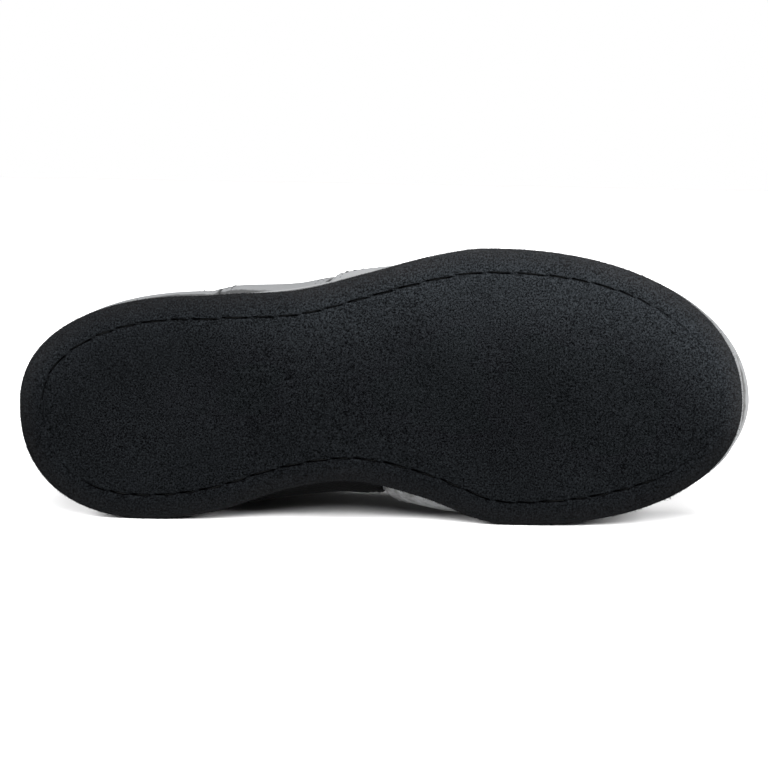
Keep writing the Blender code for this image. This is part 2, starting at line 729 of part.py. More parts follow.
def add_laces():
    """Both runs of the lace, joined where they cross; the ends stop at the top eyelets."""
    first = [(MEDIAL if row % 2 == 0 else LATERAL, level) for row, level in enumerate(eyelet_levels())]
    second = [(-side, level) for side, level in first]
    laces = add_piece("laces", cord_mesh("laces", lace_run([second[0], *first])), CORD)
    second_run = hidden_helper("lace_second_run", cord_mesh("lace_second_run", lace_run(second)))
    combine(laces, second_run, "UNION")
    return laces


def solid_points(piece):
    """Corner points of a finished piece."""
    bpy.context.view_layer.update()
    mesh = piece.evaluated_get(bpy.context.evaluated_depsgraph_get()).data
    return np.array([piece.matrix_world @ corner.co for corner in mesh.vertices])


def turn_onto_inner_side(felt, collar, pieces):
    """Turn the carrier so that the felt's ball and heel edges and the collar touch the ground."""
    felt_points, collar_points = solid_points(felt), solid_points(collar)
    in_front = felt_points[:, 0] > ARCH_MIDDLE * MM
    groups = (felt_points[in_front], felt_points[~in_front], collar_points)
    down = np.array((0.0, 1.0, 0.0))
    for _ in range(SETTLE_ROUNDS):
        ball, heel, cuff = (group[np.argmax(group @ down)] for group in groups)
        down = np.cross(cuff - heel, ball - heel)
        down *= math.copysign(1.0, down[1]) / np.linalg.norm(down)
    toe = np.array((1.0, 0.0, 0.0))
    toe = toe - down * (toe @ down)
    toe /= np.linalg.norm(toe)
    carrier.matrix_world = Matrix((toe, np.cross(-down, toe), -down)).to_4x4()
    points = np.concatenate([solid_points(piece) for piece in pieces])
    low, high = points.min(axis=0), points.max(axis=0)
    middle = (low + high) / 2
    carrier.location = (-middle[0], -middle[1], -low[2])


felt_outsole = add_felt_outsole()
collar = add_collar()
pieces = [
    felt_outsole, add_midsole(), add_insole(), add_upper(), add_toe_cap(), add_heel_counter(),
    add_eyestay(), collar, add_tongue(), add_laces(),
]
for side in SIDE_NAMES:
    pieces.append(add_side_strap(side))
    for number, level in enumerate(eyelet_levels(), start=1):
        pieces.append(add_eyelet(side, number, level))
turn_onto_inner_side(felt_outsole, collar, pieces)
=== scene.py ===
"""Looks of a felt-soled wading boot for the right foot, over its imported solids, lying as in the photo."""

import json
import math
from collections import namedtuple
from functools import lru_cache

import bmesh
import bpy
import numpy as np
from mathutils import Matrix, Vector


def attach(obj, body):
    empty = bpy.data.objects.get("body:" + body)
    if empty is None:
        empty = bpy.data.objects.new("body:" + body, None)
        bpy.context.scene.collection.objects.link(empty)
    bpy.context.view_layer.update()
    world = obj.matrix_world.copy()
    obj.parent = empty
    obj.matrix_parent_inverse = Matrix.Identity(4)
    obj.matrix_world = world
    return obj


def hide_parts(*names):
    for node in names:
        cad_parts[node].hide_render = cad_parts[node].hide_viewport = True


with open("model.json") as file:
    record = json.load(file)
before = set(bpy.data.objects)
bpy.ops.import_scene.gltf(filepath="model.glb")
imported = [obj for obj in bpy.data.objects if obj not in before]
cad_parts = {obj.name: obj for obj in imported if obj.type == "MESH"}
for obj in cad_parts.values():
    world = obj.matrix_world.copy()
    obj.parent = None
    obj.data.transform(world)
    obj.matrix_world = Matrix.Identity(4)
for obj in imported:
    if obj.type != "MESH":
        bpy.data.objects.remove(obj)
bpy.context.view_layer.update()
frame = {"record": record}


# The boot's own frame
# The boot lies on its inner side. Two marks on the flat of its felt, under the heel and under the ball, give
# the frame that a maker cuts it in: X to the toe, Y to the inner side, Z up from the ground, in millimetres.
MM = 0.001
MEDIAL, LATERAL = 1, -1
SIDE_NAMES = {MEDIAL: "medial", LATERAL: "lateral"}
HEEL_MARK = Vector((50.0, 10.0, 0.0))

marks = {mount["name"]: mount for mount in frame["record"]["mounts"]}
heel_mark = Vector(marks["heel_tread"]["pos_m"])
to_toe = (Vector(marks["forefoot_tread"]["pos_m"]) - heel_mark).normalized()
off_sole = Vector(marks["heel_tread"]["axis"])
up_the_boot = -(off_sole - to_toe * off_sole.dot(to_toe)).normalized()
turned = Matrix((to_toe, up_the_boot.cross(to_toe), up_the_boot)).transposed()
boot = Matrix.Translation(heel_mark - turned @ HEEL_MARK * MM) @ turned.to_4x4()


# Felt outsole
# A 12 mm slab of black needle felt, knife-cut to the sole's outline and glued under the midsole.
# A row of lock stitches, 10 mm inside the edge, pulls a slit into its face.
SOLE_LENGTH = 312.0
HEEL_ROUND, TOE_ROUND = 2.25, 2.15
TOE_SPRING, TOE_SPRING_START, TOE_SPRING_LIMIT = 15.0, 222.0, 1.1
ARCH_LIFT, ARCH_BACK, ARCH_FRONT = 2.0, 88.0, 184.0
HEEL_LIFT, HEEL_LIFT_LENGTH = 1.5, 18.0
Edge = namedtuple("Edge", "station half_width")
FELT_EDGE = {
    MEDIAL: (Edge(57, 49.0), Edge(84, 45.9), Edge(115, 36.5), Edge(143, 33.3), Edge(172, 39.8),
             Edge(200, 50.3), Edge(217, 51.8)),
    LATERAL: (Edge(76, 46.3), Edge(90, 47.2), Edge(120, 49.0), Edge(150, 56.3), Edge(178, 63.7),
              Edge(200, 66.8)),
}
OUTLINE_SAMPLES = 6000
SPINE_BACK, SPINE_FRONT = 60.0, 250.0
FELT_THICK = 12.0
FELT_EDGE_ROUND, EDGE_ROUND_ROWS = 2.6, 8
FELT_COLUMNS, FELT_WALL_ROWS, FELT_MIDDLE_ROWS = 1300, 10, 14
FELT_MIDDLE_INSET, FELT_MIDDLE_SHARE = 20.0, 0.93
FELT_TOP_INSETS = (FELT_MIDDLE_INSET, FELT_MIDDLE_INSET, FELT_MIDDLE_INSET, 10.0, 0.5)
FELT_TOP_SHARES = (0.0, 0.5, 1.0, 1.0, 1.0)
RIM_ROWS, PAST_SEAM_ROWS = (3.2, 7.2, 6), (13.2, FELT_MIDDLE_INSET, 5)
RIM_REACH = 8.0
SEAM_INSET, SEAM_PITCH, SEAM_SHARE, SEAM_UNEVEN = 10.0, 11.2, 0.84, 0.28
SEAM_SLANT, SEAM_SWAY, SEAM_SWAY_LENGTH = 0.5, 0.3, 95.0
SEAM_PULL_SPREAD, SEAM_PULL_LIMITS, SEAM_PULL_START = 0.16, (0.6, 1.4), 0.08
SEAM_DIP, SEAM_DIP_REACH, SEAM_DIP_BETWEEN = 0.32, 1.6, 0.5
SLIT_DEPTH, SLIT_REACH, SLIT_BETWEEN, SLIT_SHADE = 1.7, 0.34, 0.3, 1.15
SLIT_ROWS, SLIT_ROWS_REACH, SLIT_ROWS_CROWDING = 19, 2.4, 2.4
SEAM_FADE_START, SEAM_FADE_END, SEAM_FADE = 245.0, 296.0, 0.8
HEEL_FADE, HEEL_FADE_END, HEEL_FADE_LENGTH = 0.85, 36.0, 12.0
HEEL_FADE_SIDE, HEEL_FADE_WIDTH = -30.0, 40.0
# Painted light: the felt is coloured paler along its outer edge, which faces up, and towards the toe.
PaintedLight = namedtuple("PaintedLight", "amount reach")
HEEL_PAINTED_LIGHT, BALL_PAINTED_LIGHT = PaintedLight(0.8, 16.0), PaintedLight(2.4, 33.0)
PAINTED_LIGHT_START, PAINTED_LIGHT_FULL = 50.0, 215.0
Wave = namedtuple("Wave", "length shift")
FELT_WAVE, WAVE_ALONG, WAVE_ACROSS = 0.14, Wave(17.0, 1.3), Wave(12.0, 0.4)
SLANT_WAVE, SLANT_WAVE_ALONG, SLANT_WAVE_ACROSS = 0.6, 7.1, 9.3
STITCH_SEED = 7
WELD_DISTANCE = MM / 1000
FELT_DARK, FELT_LIGHT = (0.0008, 0.0009, 0.001, 1.0), (0.0139, 0.0158, 0.0178, 1.0)
FELT_RIM = (0.0078, 0.0075, 0.0075, 1.0)
# Painted shade: the stitch slit is coloured near black.
FELT_SLIT_PAINTED_SHADE = (0.0004, 0.0004, 0.0004, 1.0)


def ease(share):
    """Smooth step from 0 to 1."""
    share = np.clip(share, 0.0, 1.0)
    return share * share * (3.0 - 2.0 * share)


def mix(first, second, share):
    return first + (second - first) * share


def bend(start, end, lead, trail, share):
    """Smooth curve from a start that it leaves along lead to an end that it reaches along trail."""
    leaving, reaching = share * (1.0 - share) ** 2 * lead, share ** 2 * (1.0 - share) * trail
    return mix(start, end, ease(share)) + leaving - reaching


def through(rows, place):
    """Smooth curve through rows of (place, value), level at both ends and flat beyond them."""
    places = np.array([row[0] for row in rows], float)
    values = np.array([row[1] for row in rows], float)
    slopes = np.zeros(len(rows))
    slopes[1:-1] = (values[2:] - values[:-2]) / (places[2:] - places[:-2])
    place = np.clip(place, places[0], places[-1])
    row = np.clip(np.searchsorted(places, place, side="right") - 1, 0, len(rows) - 2)
    span = places[row + 1] - places[row]
    share = (place - places[row]) / span
    return bend(values[row], values[row + 1], span * slopes[row], span * slopes[row + 1], share)


def rounded_end(share, power):
    """Width that falls from 1 at share 0 to nothing at share 1, like the end of an ellipse."""
    return (1.0 - np.clip(share, 0.0, 1.0) ** power) ** (1.0 / power)


def plan_half_width(rows, station, back, front, inset=0.0):
    """Half-width of an outline at a station, rounded off to nothing at its back and front."""
    heel = rounded_end((rows[0].station - station) / (rows[0].station - back), HEEL_ROUND)
    toe = rounded_end((station - rows[-1].station) / (front - rows[-1].station), TOE_ROUND)
    return (through(rows, station) - inset) * heel * toe


def sole_lift(station):
    """Height of the underside over the ground: heel bevel, low arch and toe spring."""
    heel = np.clip(1.0 - station / HEEL_LIFT_LENGTH, 0.0, 1.0)
    arch = np.clip((station - ARCH_BACK) / (ARCH_FRONT - ARCH_BACK), 0.0, 1.0)
    toe = np.clip((station - TOE_SPRING_START) / (SOLE_LENGTH - TOE_SPRING_START), 0.0, TOE_SPRING_LIMIT)
    return HEEL_LIFT * heel ** 2 + ARCH_LIFT * np.sin(math.pi * arch) ** 2 + TOE_SPRING * toe ** 2


def run_lengths(line):
    """Length along a line of points, from its first point to each."""
    return np.concatenate(([0.0], np.cumsum(np.linalg.norm(np.diff(line, axis=0), axis=1))))


def along_run(line, lengths, places):
    """Points of a line at lengths along it."""
    return np.stack([np.interp(places, lengths, line[:, axis]) for axis in range(line.shape[1])], axis=-1)


def unit(vectors):
    return vectors / np.maximum(np.linalg.norm(vectors, axis=-1, keepdims=True), 1e-9)


def sole_outline(half_width, back, front, count):
    """Evenly spaced points round a layer of the sole, from the heel along the outer side, and the way out."""
    around = np.linspace(0.0, math.tau, OUTLINE_SAMPLES)
    station = mix(back, front, (1.0 - np.cos(around)) / 2)
    across = np.where(around <= math.pi, -half_width(LATERAL, station), half_width(MEDIAL, station))
    line = np.stack((station, across), axis=-1)
    lengths = run_lengths(line)
    points = along_run(line, lengths, np.arange(count) * lengths[-1] / count)
    ahead = np.roll(points, -1, axis=0) - np.roll(points, 1, axis=0)
    return points, unit(np.stack((ahead[:, 1], -ahead[:, 0]), axis=-1))


def sole_rows(outline, way_out, insets, shares, heights):
    """Rings of a layer of the sole, each inset from the outline or drawn in to the middle line by a share."""
    rings = outline - way_out * np.asarray(insets)[:, None, None]
    spine = np.stack((np.clip(rings[..., 0], SPINE_BACK, SPINE_FRONT), np.zeros(rings.shape[:2])), axis=-1)
    rings = mix(spine, rings, np.asarray(shares)[:, None, None])
    level = np.asarray(heights)[:, None] + sole_lift(rings[..., 0])
    return np.concatenate((rings, level[..., None]), axis=-1)


def grid_faces(rows, columns, closed=False):
    """Quads between neighbouring rows of points; closed joins the last column to the first."""
    index = np.arange(rows * columns).reshape(rows, columns)
    if closed:
        index = np.concatenate((index, index[:, :1]), axis=1)
    return np.stack((index[:-1, :-1], index[:-1, 1:], index[1:, 1:], index[1:, :-1]), axis=-1).reshape(-1, 4)


def add_piece(name, points, faces, finishes, slot, nodes=(), second=None, **layers):
    """Smooth mesh in the boot's frame that rides on the boot; second marks faces with the second finish."""
    mesh = bpy.data.meshes.new(name)
    mesh.from_pydata((np.reshape(points, (-1, 3)) * MM).tolist(), [], np.asarray(faces).tolist())
    for layer, values in layers.items():
        kind, field = ("FLOAT", "value") if np.ndim(values) == 1 else ("FLOAT_VECTOR", "vector")
        mesh.attributes.new(layer, kind, "POINT").data.foreach_set(field, np.ravel(values).astype(np.float32))
    if second is not None:
        mesh.polygons.foreach_set("material_index", np.asarray(second, np.int32))
    shape = bmesh.new()
    shape.from_mesh(mesh)
    bmesh.ops.remove_doubles(shape, verts=shape.verts, dist=WELD_DISTANCE)
    bmesh.ops.recalc_face_normals(shape, faces=shape.faces)
    shape.to_mesh(mesh)
    shape.free()
    mesh.shade_smooth()
    for finish in finishes:
        mesh.materials.append(finish)
    piece = bpy.data.objects.new(name, mesh)
    bpy.context.scene.collection.objects.link(piece)
    piece.matrix_world = boot
    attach(piece, "root")
    if nodes:
        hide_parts(*nodes)
    return piece


class Signal:
    """A socket of a material's nodes. Sums, differences and products of signals add Math nodes."""

    def __init__(self, tree, socket=None):
        self.tree = tree
        self.socket = socket

    def node(self, kind, settings, sockets, out):
        """Signal from a new node: its settings are set first, then its sockets are filled or linked."""
        made = self.tree.nodes.new("ShaderNode" + kind)
        for name, value in settings.items():
            setattr(made, name, value)
        for name, value in sockets.items():
            socket = next(each for each in made.inputs if name in (each.identifier, each.name))
            if isinstance(value, Signal):
                self.tree.links.new(value.socket, socket)
            else:
                socket.default_value = value
        return Signal(self.tree, next(each for each in made.outputs if out in (each.identifier, each.name)))

    def math(self, operation, first, second=0.0):
        return self.node("Math", {"operation": operation}, {"Value": first, "Value_001": second}, "Value")

    def __add__(self, other):
        return self.math("ADD", self, other)

    __radd__ = __add__

    def __sub__(self, other):
        return self.math("SUBTRACT", self, other)

    def __rsub__(self, other):
        return self.math("SUBTRACT", other, self)

    def __mul__(self, other):
        return self.math("MULTIPLY", self, other)

    __rmul__ = __mul__


def new_finish(name, **constants):
    """Material whose Principled shader has constants on its sockets; gives it, its shader and its place."""
    finish = bpy.data.materials.new(name)
    finish.use_nodes = True
    shader = finish.node_tree.nodes["Principled BSDF"]
    for words, value in constants.items():
        socket = next(each for each in shader.inputs if each.name.lower() == words.replace("_", " "))
        socket.default_value = value
    place = Signal(finish.node_tree).node("TexCoord", {}, {}, "Object")
    return finish, shader, place


def feed(shader, name, signal):
    signal.tree.links.new(signal.socket, shader.inputs[name])


def noise(place, scale, detail=2.0, roughness=0.5, swirl=0.0):
    """Noise from 0 to 1; a scale for each axis stretches it, and swirl curls it."""
    if isinstance(scale, tuple):
        stretch = {"Vector": place, "Vector_001": scale}
        place = place.node("VectorMath", {"operation": "MULTIPLY"}, stretch, "Vector")
        scale = 1.0
    sockets = {"Vector": place, "Scale": scale, "Detail": detail, "Roughness": roughness, "Distortion": swirl}
    return place.node("TexNoise", {}, sockets, "Fac")


def sharpen(signal, gain):
    """Contrast of a signal about its middle, kept between 0 and 1."""
    return signal.node("Math", {"operation": "MULTIPLY_ADD", "use_clamp": True},
                       {"Value": signal, "Value_001": gain, "Value_002": 0.5 - gain / 2}, "Value")


def blend(mask, first, second):
    """Colour from the first to the second as the mask goes from 0 to 1."""
    return mask.node("Mix", {"data_type": "RGBA"},
                     {"Factor_Float": mask, "A_Color": first, "B_Color": second}, "Result_Color")


def shaded(colour, tone):
    """Colour made lighter or darker by a tone."""
    return colour.node("VectorMath", {"operation": "SCALE"}, {"Vector": colour, "Scale": tone}, "Vector")


def layer_value(place, name):
    """Number that a mesh carries at each point."""
    return place.node("Attribute", {"attribute_name": name}, {}, "Fac")


def bump(shader, height, strength, depth):
    """Relief of a depth in millimetres on the shader's normal."""
    sockets = {"Height": height, "Strength": strength, "Distance": depth * MM}
    feed(shader, "Normal", height.node("Bump", {}, sockets, "Normal"))


def felt_half_width(side, station):
    return plan_half_width(FELT_EDGE[side], station, 0.0, SOLE_LENGTH)


def felt_finish(name, dark, light):
    """Matted fibres with light flecks, paler with painted light along the outer edge and at the toe, browner
    at the rim, and coloured near black with painted shade in the slit.
    """
    finish, shader, place = new_finish(name, roughness=0.95, specular_ior_level=0.0)
    flecks = noise(place, 1350.0, 3.0, 0.8)
    matting = noise(place, 520.0, 4.0, 0.8, 2.5)
    patches = noise(place, 22.0, 3.0)
    nap = flecks * 0.7 + matting * 0.3
    cloth = blend(sharpen(nap * 0.96 + patches * 0.04 - 0.02, 5.5), dark, light)
    rimmed = blend(layer_value(place, "rim") * 0.6, cloth, FELT_RIM)
    worn = shaded(rimmed, layer_value(place, "worn") + 1.0)
    feed(shader, "Base Color", blend(layer_value(place, "seam"), worn, FELT_SLIT_PAINTED_SHADE))
    bump(shader, nap, 0.9, 0.5)
    return finish


def felt_painted_light(points):
    """How much painted light makes the felt paler at points: most along the outer edge of the ball, which
    faces up, and at the toe.
    """
    station = points[..., 0]
    from_edge = points[..., 1] + felt_half_width(LATERAL, station)
    to_ball = ease((station - PAINTED_LIGHT_START) / (PAINTED_LIGHT_FULL - PAINTED_LIGHT_START))
    reach = mix(HEEL_PAINTED_LIGHT.reach, BALL_PAINTED_LIGHT.reach, to_ball)
    return mix(HEEL_PAINTED_LIGHT.amount, BALL_PAINTED_LIGHT.amount, to_ball) * np.exp(-(from_edge / reach) ** 2)


def felt_waves(points):
    """Slow unevenness of the felt's face."""
    station, across = points[..., 0], points[..., 1]
    along_it = np.sin(station / WAVE_ALONG.length + WAVE_ALONG.shift)
    across_it = np.sin(across / WAVE_ACROSS.length + WAVE_ACROSS.shift)
    slanted = SLANT_WAVE * np.sin(station / SLANT_WAVE_ALONG - across / SLANT_WAVE_ACROSS)
    return along_it * across_it + slanted


felt_line, felt_out = sole_outline(felt_half_width, 0.0, SOLE_LENGTH, FELT_COLUMNS)
edge_turn = np.linspace(0.0, math.pi / 2, EDGE_ROUND_ROWS + 1)[1:]
crowded = np.sinh(np.linspace(-SLIT_ROWS_CROWDING, SLIT_ROWS_CROWDING, SLIT_ROWS))
by_seam = SEAM_INSET + SLIT_ROWS_REACH * crowded / math.sinh(SLIT_ROWS_CROWDING)
face_insets = np.concatenate((np.linspace(*RIM_ROWS), by_seam, np.linspace(*PAST_SEAM_ROWS)))
felt_insets = np.concatenate((
    FELT_TOP_INSETS, np.zeros(FELT_WALL_ROWS), FELT_EDGE_ROUND * (1.0 - np.cos(edge_turn)),
    face_insets, np.full(FELT_MIDDLE_ROWS, FELT_MIDDLE_INSET),
))
felt_heights = np.concatenate((
    np.full(len(FELT_TOP_INSETS), FELT_THICK),
    np.linspace(FELT_THICK - FELT_TOP_INSETS[-1], FELT_EDGE_ROUND, FELT_WALL_ROWS),
    FELT_EDGE_ROUND * (1.0 - np.sin(edge_turn)), np.zeros(len(face_insets) + FELT_MIDDLE_ROWS),
))
felt_shares = np.concatenate((
    FELT_TOP_SHARES, np.ones(FELT_WALL_ROWS + EDGE_ROUND_ROWS + len(face_insets)),
    np.linspace(FELT_MIDDLE_SHARE, 0.0, FELT_MIDDLE_ROWS),
))
felt_points = sole_rows(felt_line, felt_out, felt_insets, felt_shares, felt_heights)

seam_ring = felt_line - felt_out * SEAM_INSET
seam_closed = np.concatenate((seam_ring, seam_ring[:1]))
seam_lengths = run_lengths(seam_closed)
stitch_count = round(seam_lengths[-1] / SEAM_PITCH)
stitch_draw = np.random.default_rng(STITCH_SEED)
stitch_spans = 1.0 + SEAM_UNEVEN * stitch_draw.uniform(-1.0, 1.0, stitch_count)
stitch_ends = np.concatenate(([0.0], np.cumsum(stitch_spans))) * seam_lengths[-1] / stitch_spans.sum()
stitch_pull = np.clip(1.0 + stitch_draw.normal(0.0, SEAM_PULL_SPREAD, stitch_count), *SEAM_PULL_LIMITS)
phase = np.interp(seam_lengths[:-1], stitch_ends, np.arange(stitch_count + 1))
number = np.minimum(phase.astype(int), stitch_count - 1)
from_middle = phase % 1.0 - 0.5
pulled = stitch_pull[number] * ease((SEAM_SHARE / 2 - np.abs(from_middle)) / SEAM_PULL_START)
to_toe_end = ease((seam_ring[:, 0] - SEAM_FADE_START) / (SEAM_FADE_END - SEAM_FADE_START))
to_heel_end = ease((HEEL_FADE_END - seam_ring[:, 0]) / HEEL_FADE_LENGTH)
to_heel_end *= ease((seam_ring[:, 1] - HEEL_FADE_SIDE) / HEEL_FADE_WIDTH)
seam_strength = (1.0 - SEAM_FADE * to_toe_end) * (1.0 - HEEL_FADE * to_heel_end)
seam_sway = SEAM_SWAY * np.sin(seam_lengths[:-1] * math.tau / SEAM_SWAY_LENGTH)
seam_shift = SEAM_SLANT * from_middle + seam_sway
from_seam = (felt_insets - SEAM_INSET)[:, None] - seam_shift
underneath = ((felt_heights == 0.0) & (felt_shares == 1.0))[:, None]
dip = SEAM_DIP * mix(SEAM_DIP_BETWEEN, 1.0, pulled) * np.exp(-(from_seam / SEAM_DIP_REACH) ** 2)
# The slit's depth is geometry; its near-black colour, carried by the seam layer, is painted shade.
in_slit = seam_strength * mix(SLIT_BETWEEN, 1.0, pulled) * np.exp(-(from_seam / SLIT_REACH) ** 2)
felt_points[..., 2] += underneath * (dip + SLIT_DEPTH * in_slit)
felt_points[..., 2] += (felt_heights == 0.0)[:, None] * FELT_WAVE * felt_waves(felt_points)
rim = np.clip(1.0 - felt_insets / RIM_REACH, 0.0, 1.0)[:, None] * np.ones(FELT_COLUMNS)
felt = felt_finish("black_needle_felt", FELT_DARK, FELT_LIGHT)
# Painted light makes the felt's outer edge and toe paler.
add_piece("felt_slab", felt_points, grid_faces(len(felt_insets), FELT_COLUMNS, closed=True), [felt], "felt",
          ["felt_outsole"], rim=np.ravel(rim), worn=np.ravel(felt_painted_light(felt_points)),
          seam=np.ravel(np.clip(SLIT_SHADE * in_slit, 0.0, 1.0) * underneath))


# Sole stitches
# Waxed black thread of the lock stitches that hold the felt to the midsole.
# Each stitch is drawn down into the slit, out of the ground's reach.
SOLE_THREAD_RADIUS, SOLE_THREAD_SINK = 0.34, 1.6
THREAD_STEPS, THREAD_SIDES, THREAD_ARCH, THREAD_TIP = 7, 6, 1.5, 0.04
THREAD_BLACK = (0.0012, 0.0012, 0.0013, 1.0)


def thread_stitches(path, normals, middles, spans, radius, lift):
    """Mesh of stitches at places along a path, each arched over the surface and sunk at both ends."""
    lengths = run_lengths(path)
    steps = np.linspace(-0.5, 0.5, THREAD_STEPS)
    places = middles[:, None] + steps * spans[:, None]
    arch = 1.0 - (2.0 * steps) ** 2
    normal = unit(along_run(normals, lengths, places))
    standing = lift - radius + THREAD_ARCH * radius * arch
    middle = along_run(path, lengths, places) + normal * standing[:, None]
    sideways = unit(np.cross(np.gradient(middle, axis=1), normal))
    turn = np.arange(THREAD_SIDES) * math.tau / THREAD_SIDES
    girth = (radius * np.sqrt(np.maximum(arch, THREAD_TIP)))[:, None, None]
    around = np.cos(turn)[:, None] * normal[..., None, :] + np.sin(turn)[:, None] * sideways[..., None, :]
    points = (middle[..., None, :] + around * girth).reshape(-1, 3)
    first = np.arange(len(middles))[:, None, None] * THREAD_STEPS * THREAD_SIDES
    return points, (grid_faces(THREAD_STEPS, THREAD_SIDES, closed=True) + first).reshape(-1, 4)


def join_meshes(meshes):
    """Points and faces of several meshes as one."""
    starts = np.cumsum([0] + [len(points) for points, _ in meshes])
    faces = np.concatenate([faces + start for (_, faces), start in zip(meshes, starts)])
    return np.concatenate([points for points, _ in meshes]), faces


def thread_finish(name, colour):
    """Thread of one colour with a fine rough twist."""
    finish, shader, place = new_finish(name, base_color=colour, roughness=0.7, specular_ior_level=0.2)
    bump(shader, noise(place, 2600.0, 1.0), 0.5, 0.15)
    return finish


seam_path = np.concatenate((seam_closed, sole_lift(seam_closed[:, 0])[:, None]), axis=1)
downwards = np.tile((0.0, 0.0, -1.0), (len(seam_path), 1))
stitch_middles = (stitch_ends[1:] + stitch_ends[:-1]) / 2
sole_stitches = thread_stitches(seam_path, downwards, stitch_middles, SEAM_SHARE * np.diff(stitch_ends),
                                SOLE_THREAD_RADIUS, -SOLE_THREAD_SINK)
black_thread = thread_finish("black_thread", THREAD_BLACK)
add_piece("sole_stitches", *sole_stitches, [black_thread], "felt")


# Felt fibres
# Loose ends of the needled fibres, rooted in the felt. They stand off its face and its cut edge
# and soften the outline.
FACE_FIBRES, EDGE_FIBRES = 26000, 9000
FIBRE_LENGTH, FIBRE_WIDTH, FIBRE_RISE, EDGE_FIBRE_SHARE = 2.2, 0.1, 0.2, 0.7
FIBRE_STEPS, FIBRE_BOW, FIBRE_BEND = (-0.5, 0.0, 0.5), (-0.6, 1.0, -0.6), (0.0, 0.16, 0.0)
FACE_FIBRE_LENGTHS, FACE_FIBRE_RISES = (0.5, 1.5), (0.3, 1.3)
EDGE_FIBRE_LENGTHS, EDGE_FIBRE_RISES = (0.5, 1.3), (0.4, 1.8)
FIBRE_FIELD, FIBRE_SEED = (-70.0, 55.0), 11
EDGE_CLEAR, SEAM_CLEAR, WALL_CLEAR = 0.5, 1.9, 0.4
EDGE_FIBRE_SLANT, EDGE_FIBRE_RIM = 0.7, 0.5
POINTS_AT_ONCE = 1500
FIBRE_DARK, FIBRE_LIGHT = (0.0016, 0.0018, 0.002, 1.0), (0.0165, 0.0188, 0.0212, 1.0)


def line_distance(points, line):
    """Distance from each point to the nearest point of a line."""
    parts = np.array_split(points, max(1, len(points) // POINTS_AT_ONCE))
    return np.concatenate([np.linalg.norm(part[:, None] - line, axis=2).min(axis=1) for part in parts])


def ribbons(middle, normal, ahead, length, rise):
    """Thin bent ribbons: their ends in the felt and their middles standing off it."""
    sideways = unit(np.cross(ahead, normal))
    spine = (middle[:, None] + ahead[:, None] * (np.array(FIBRE_STEPS) * length[:, None])[..., None]
             + normal[:, None] * (np.array(FIBRE_BOW) * rise[:, None])[..., None]
             + sideways[:, None] * (np.array(FIBRE_BEND) * length[:, None])[..., None])
    half = sideways[:, None] * FIBRE_WIDTH / 2
    points = np.stack((spine - half, spine + half), axis=2).reshape(-1, 3)
    first = np.arange(len(middle))[:, None, None] * 2 * len(FIBRE_STEPS)
    return points, (grid_faces(len(FIBRE_STEPS), 2) + first).reshape(-1, 4)


fibre_draw = np.random.default_rng(FIBRE_SEED)
field_start, field_end = (0.0, FIBRE_FIELD[0]), (SOLE_LENGTH, FIBRE_FIELD[1])
face_place = fibre_draw.uniform(field_start, field_end, (FACE_FIBRES * 2, 2))
inside = face_place[:, 1] > -felt_half_width(LATERAL, face_place[:, 0]) + EDGE_CLEAR
inside &= face_place[:, 1] < felt_half_width(MEDIAL, face_place[:, 0]) - EDGE_CLEAR
face_place = face_place[inside][:FACE_FIBRES]
face_place = face_place[line_distance(face_place, seam_ring[::2]) > SEAM_CLEAR]
heading = fibre_draw.uniform(0.0, math.pi, len(face_place))
face_ahead = np.stack((np.cos(heading), np.sin(heading), np.zeros(len(heading))), axis=-1)
face_middle = np.concatenate((face_place, sole_lift(face_place[:, 0])[:, None]), axis=1)
face_normal = np.tile((0.0, 0.0, -1.0), (len(face_place), 1))
face_lengths = FIBRE_LENGTH * fibre_draw.uniform(*FACE_FIBRE_LENGTHS, len(face_place))
face_rise = FIBRE_RISE * fibre_draw.uniform(*FACE_FIBRE_RISES, len(face_place))
face_fibres = ribbons(face_middle, face_normal, face_ahead, face_lengths, face_rise)
edge_column = fibre_draw.integers(0, FELT_COLUMNS, EDGE_FIBRES)
edge_height = fibre_draw.uniform(WALL_CLEAR, FELT_THICK - WALL_CLEAR, EDGE_FIBRES)
edge_flat = felt_line[edge_column]
edge_middle = np.concatenate((edge_flat, (edge_height + sole_lift(edge_flat[:, 0]))[:, None]), axis=1)
edge_normal = np.concatenate((felt_out[edge_column], np.zeros((EDGE_FIBRES, 1))), axis=1)
edge_run = np.stack((-edge_normal[:, 1], edge_normal[:, 0], np.zeros(EDGE_FIBRES)), axis=-1)
edge_slant = fibre_draw.normal(0.0, EDGE_FIBRE_SLANT, EDGE_FIBRES)[:, None]
edge_ahead = edge_run * np.cos(edge_slant) + np.array((0.0, 0.0, 1.0)) * np.sin(edge_slant)
edge_lengths = EDGE_FIBRE_SHARE * FIBRE_LENGTH * fibre_draw.uniform(*EDGE_FIBRE_LENGTHS, EDGE_FIBRES)
edge_standing = FIBRE_RISE * fibre_draw.uniform(*EDGE_FIBRE_RISES, EDGE_FIBRES)
edge_fibres = ribbons(edge_middle, edge_normal, edge_ahead, edge_lengths, edge_standing)
fibres, fibre_faces = join_meshes((face_fibres, edge_fibres))
fibre_rim = np.concatenate((np.zeros(len(face_fibres[0])), np.full(len(edge_fibres[0]), EDGE_FIBRE_RIM)))
fibre_felt = felt_finish("felt_fibre", FIBRE_DARK, FIBRE_LIGHT)
# Painted light makes the fibres paler along the felt's outer edge and toe, like the felt.
add_piece("felt_fibres", fibres, fibre_faces, [fibre_felt], "felt", rim=fibre_rim, worn=felt_painted_light(fibres))


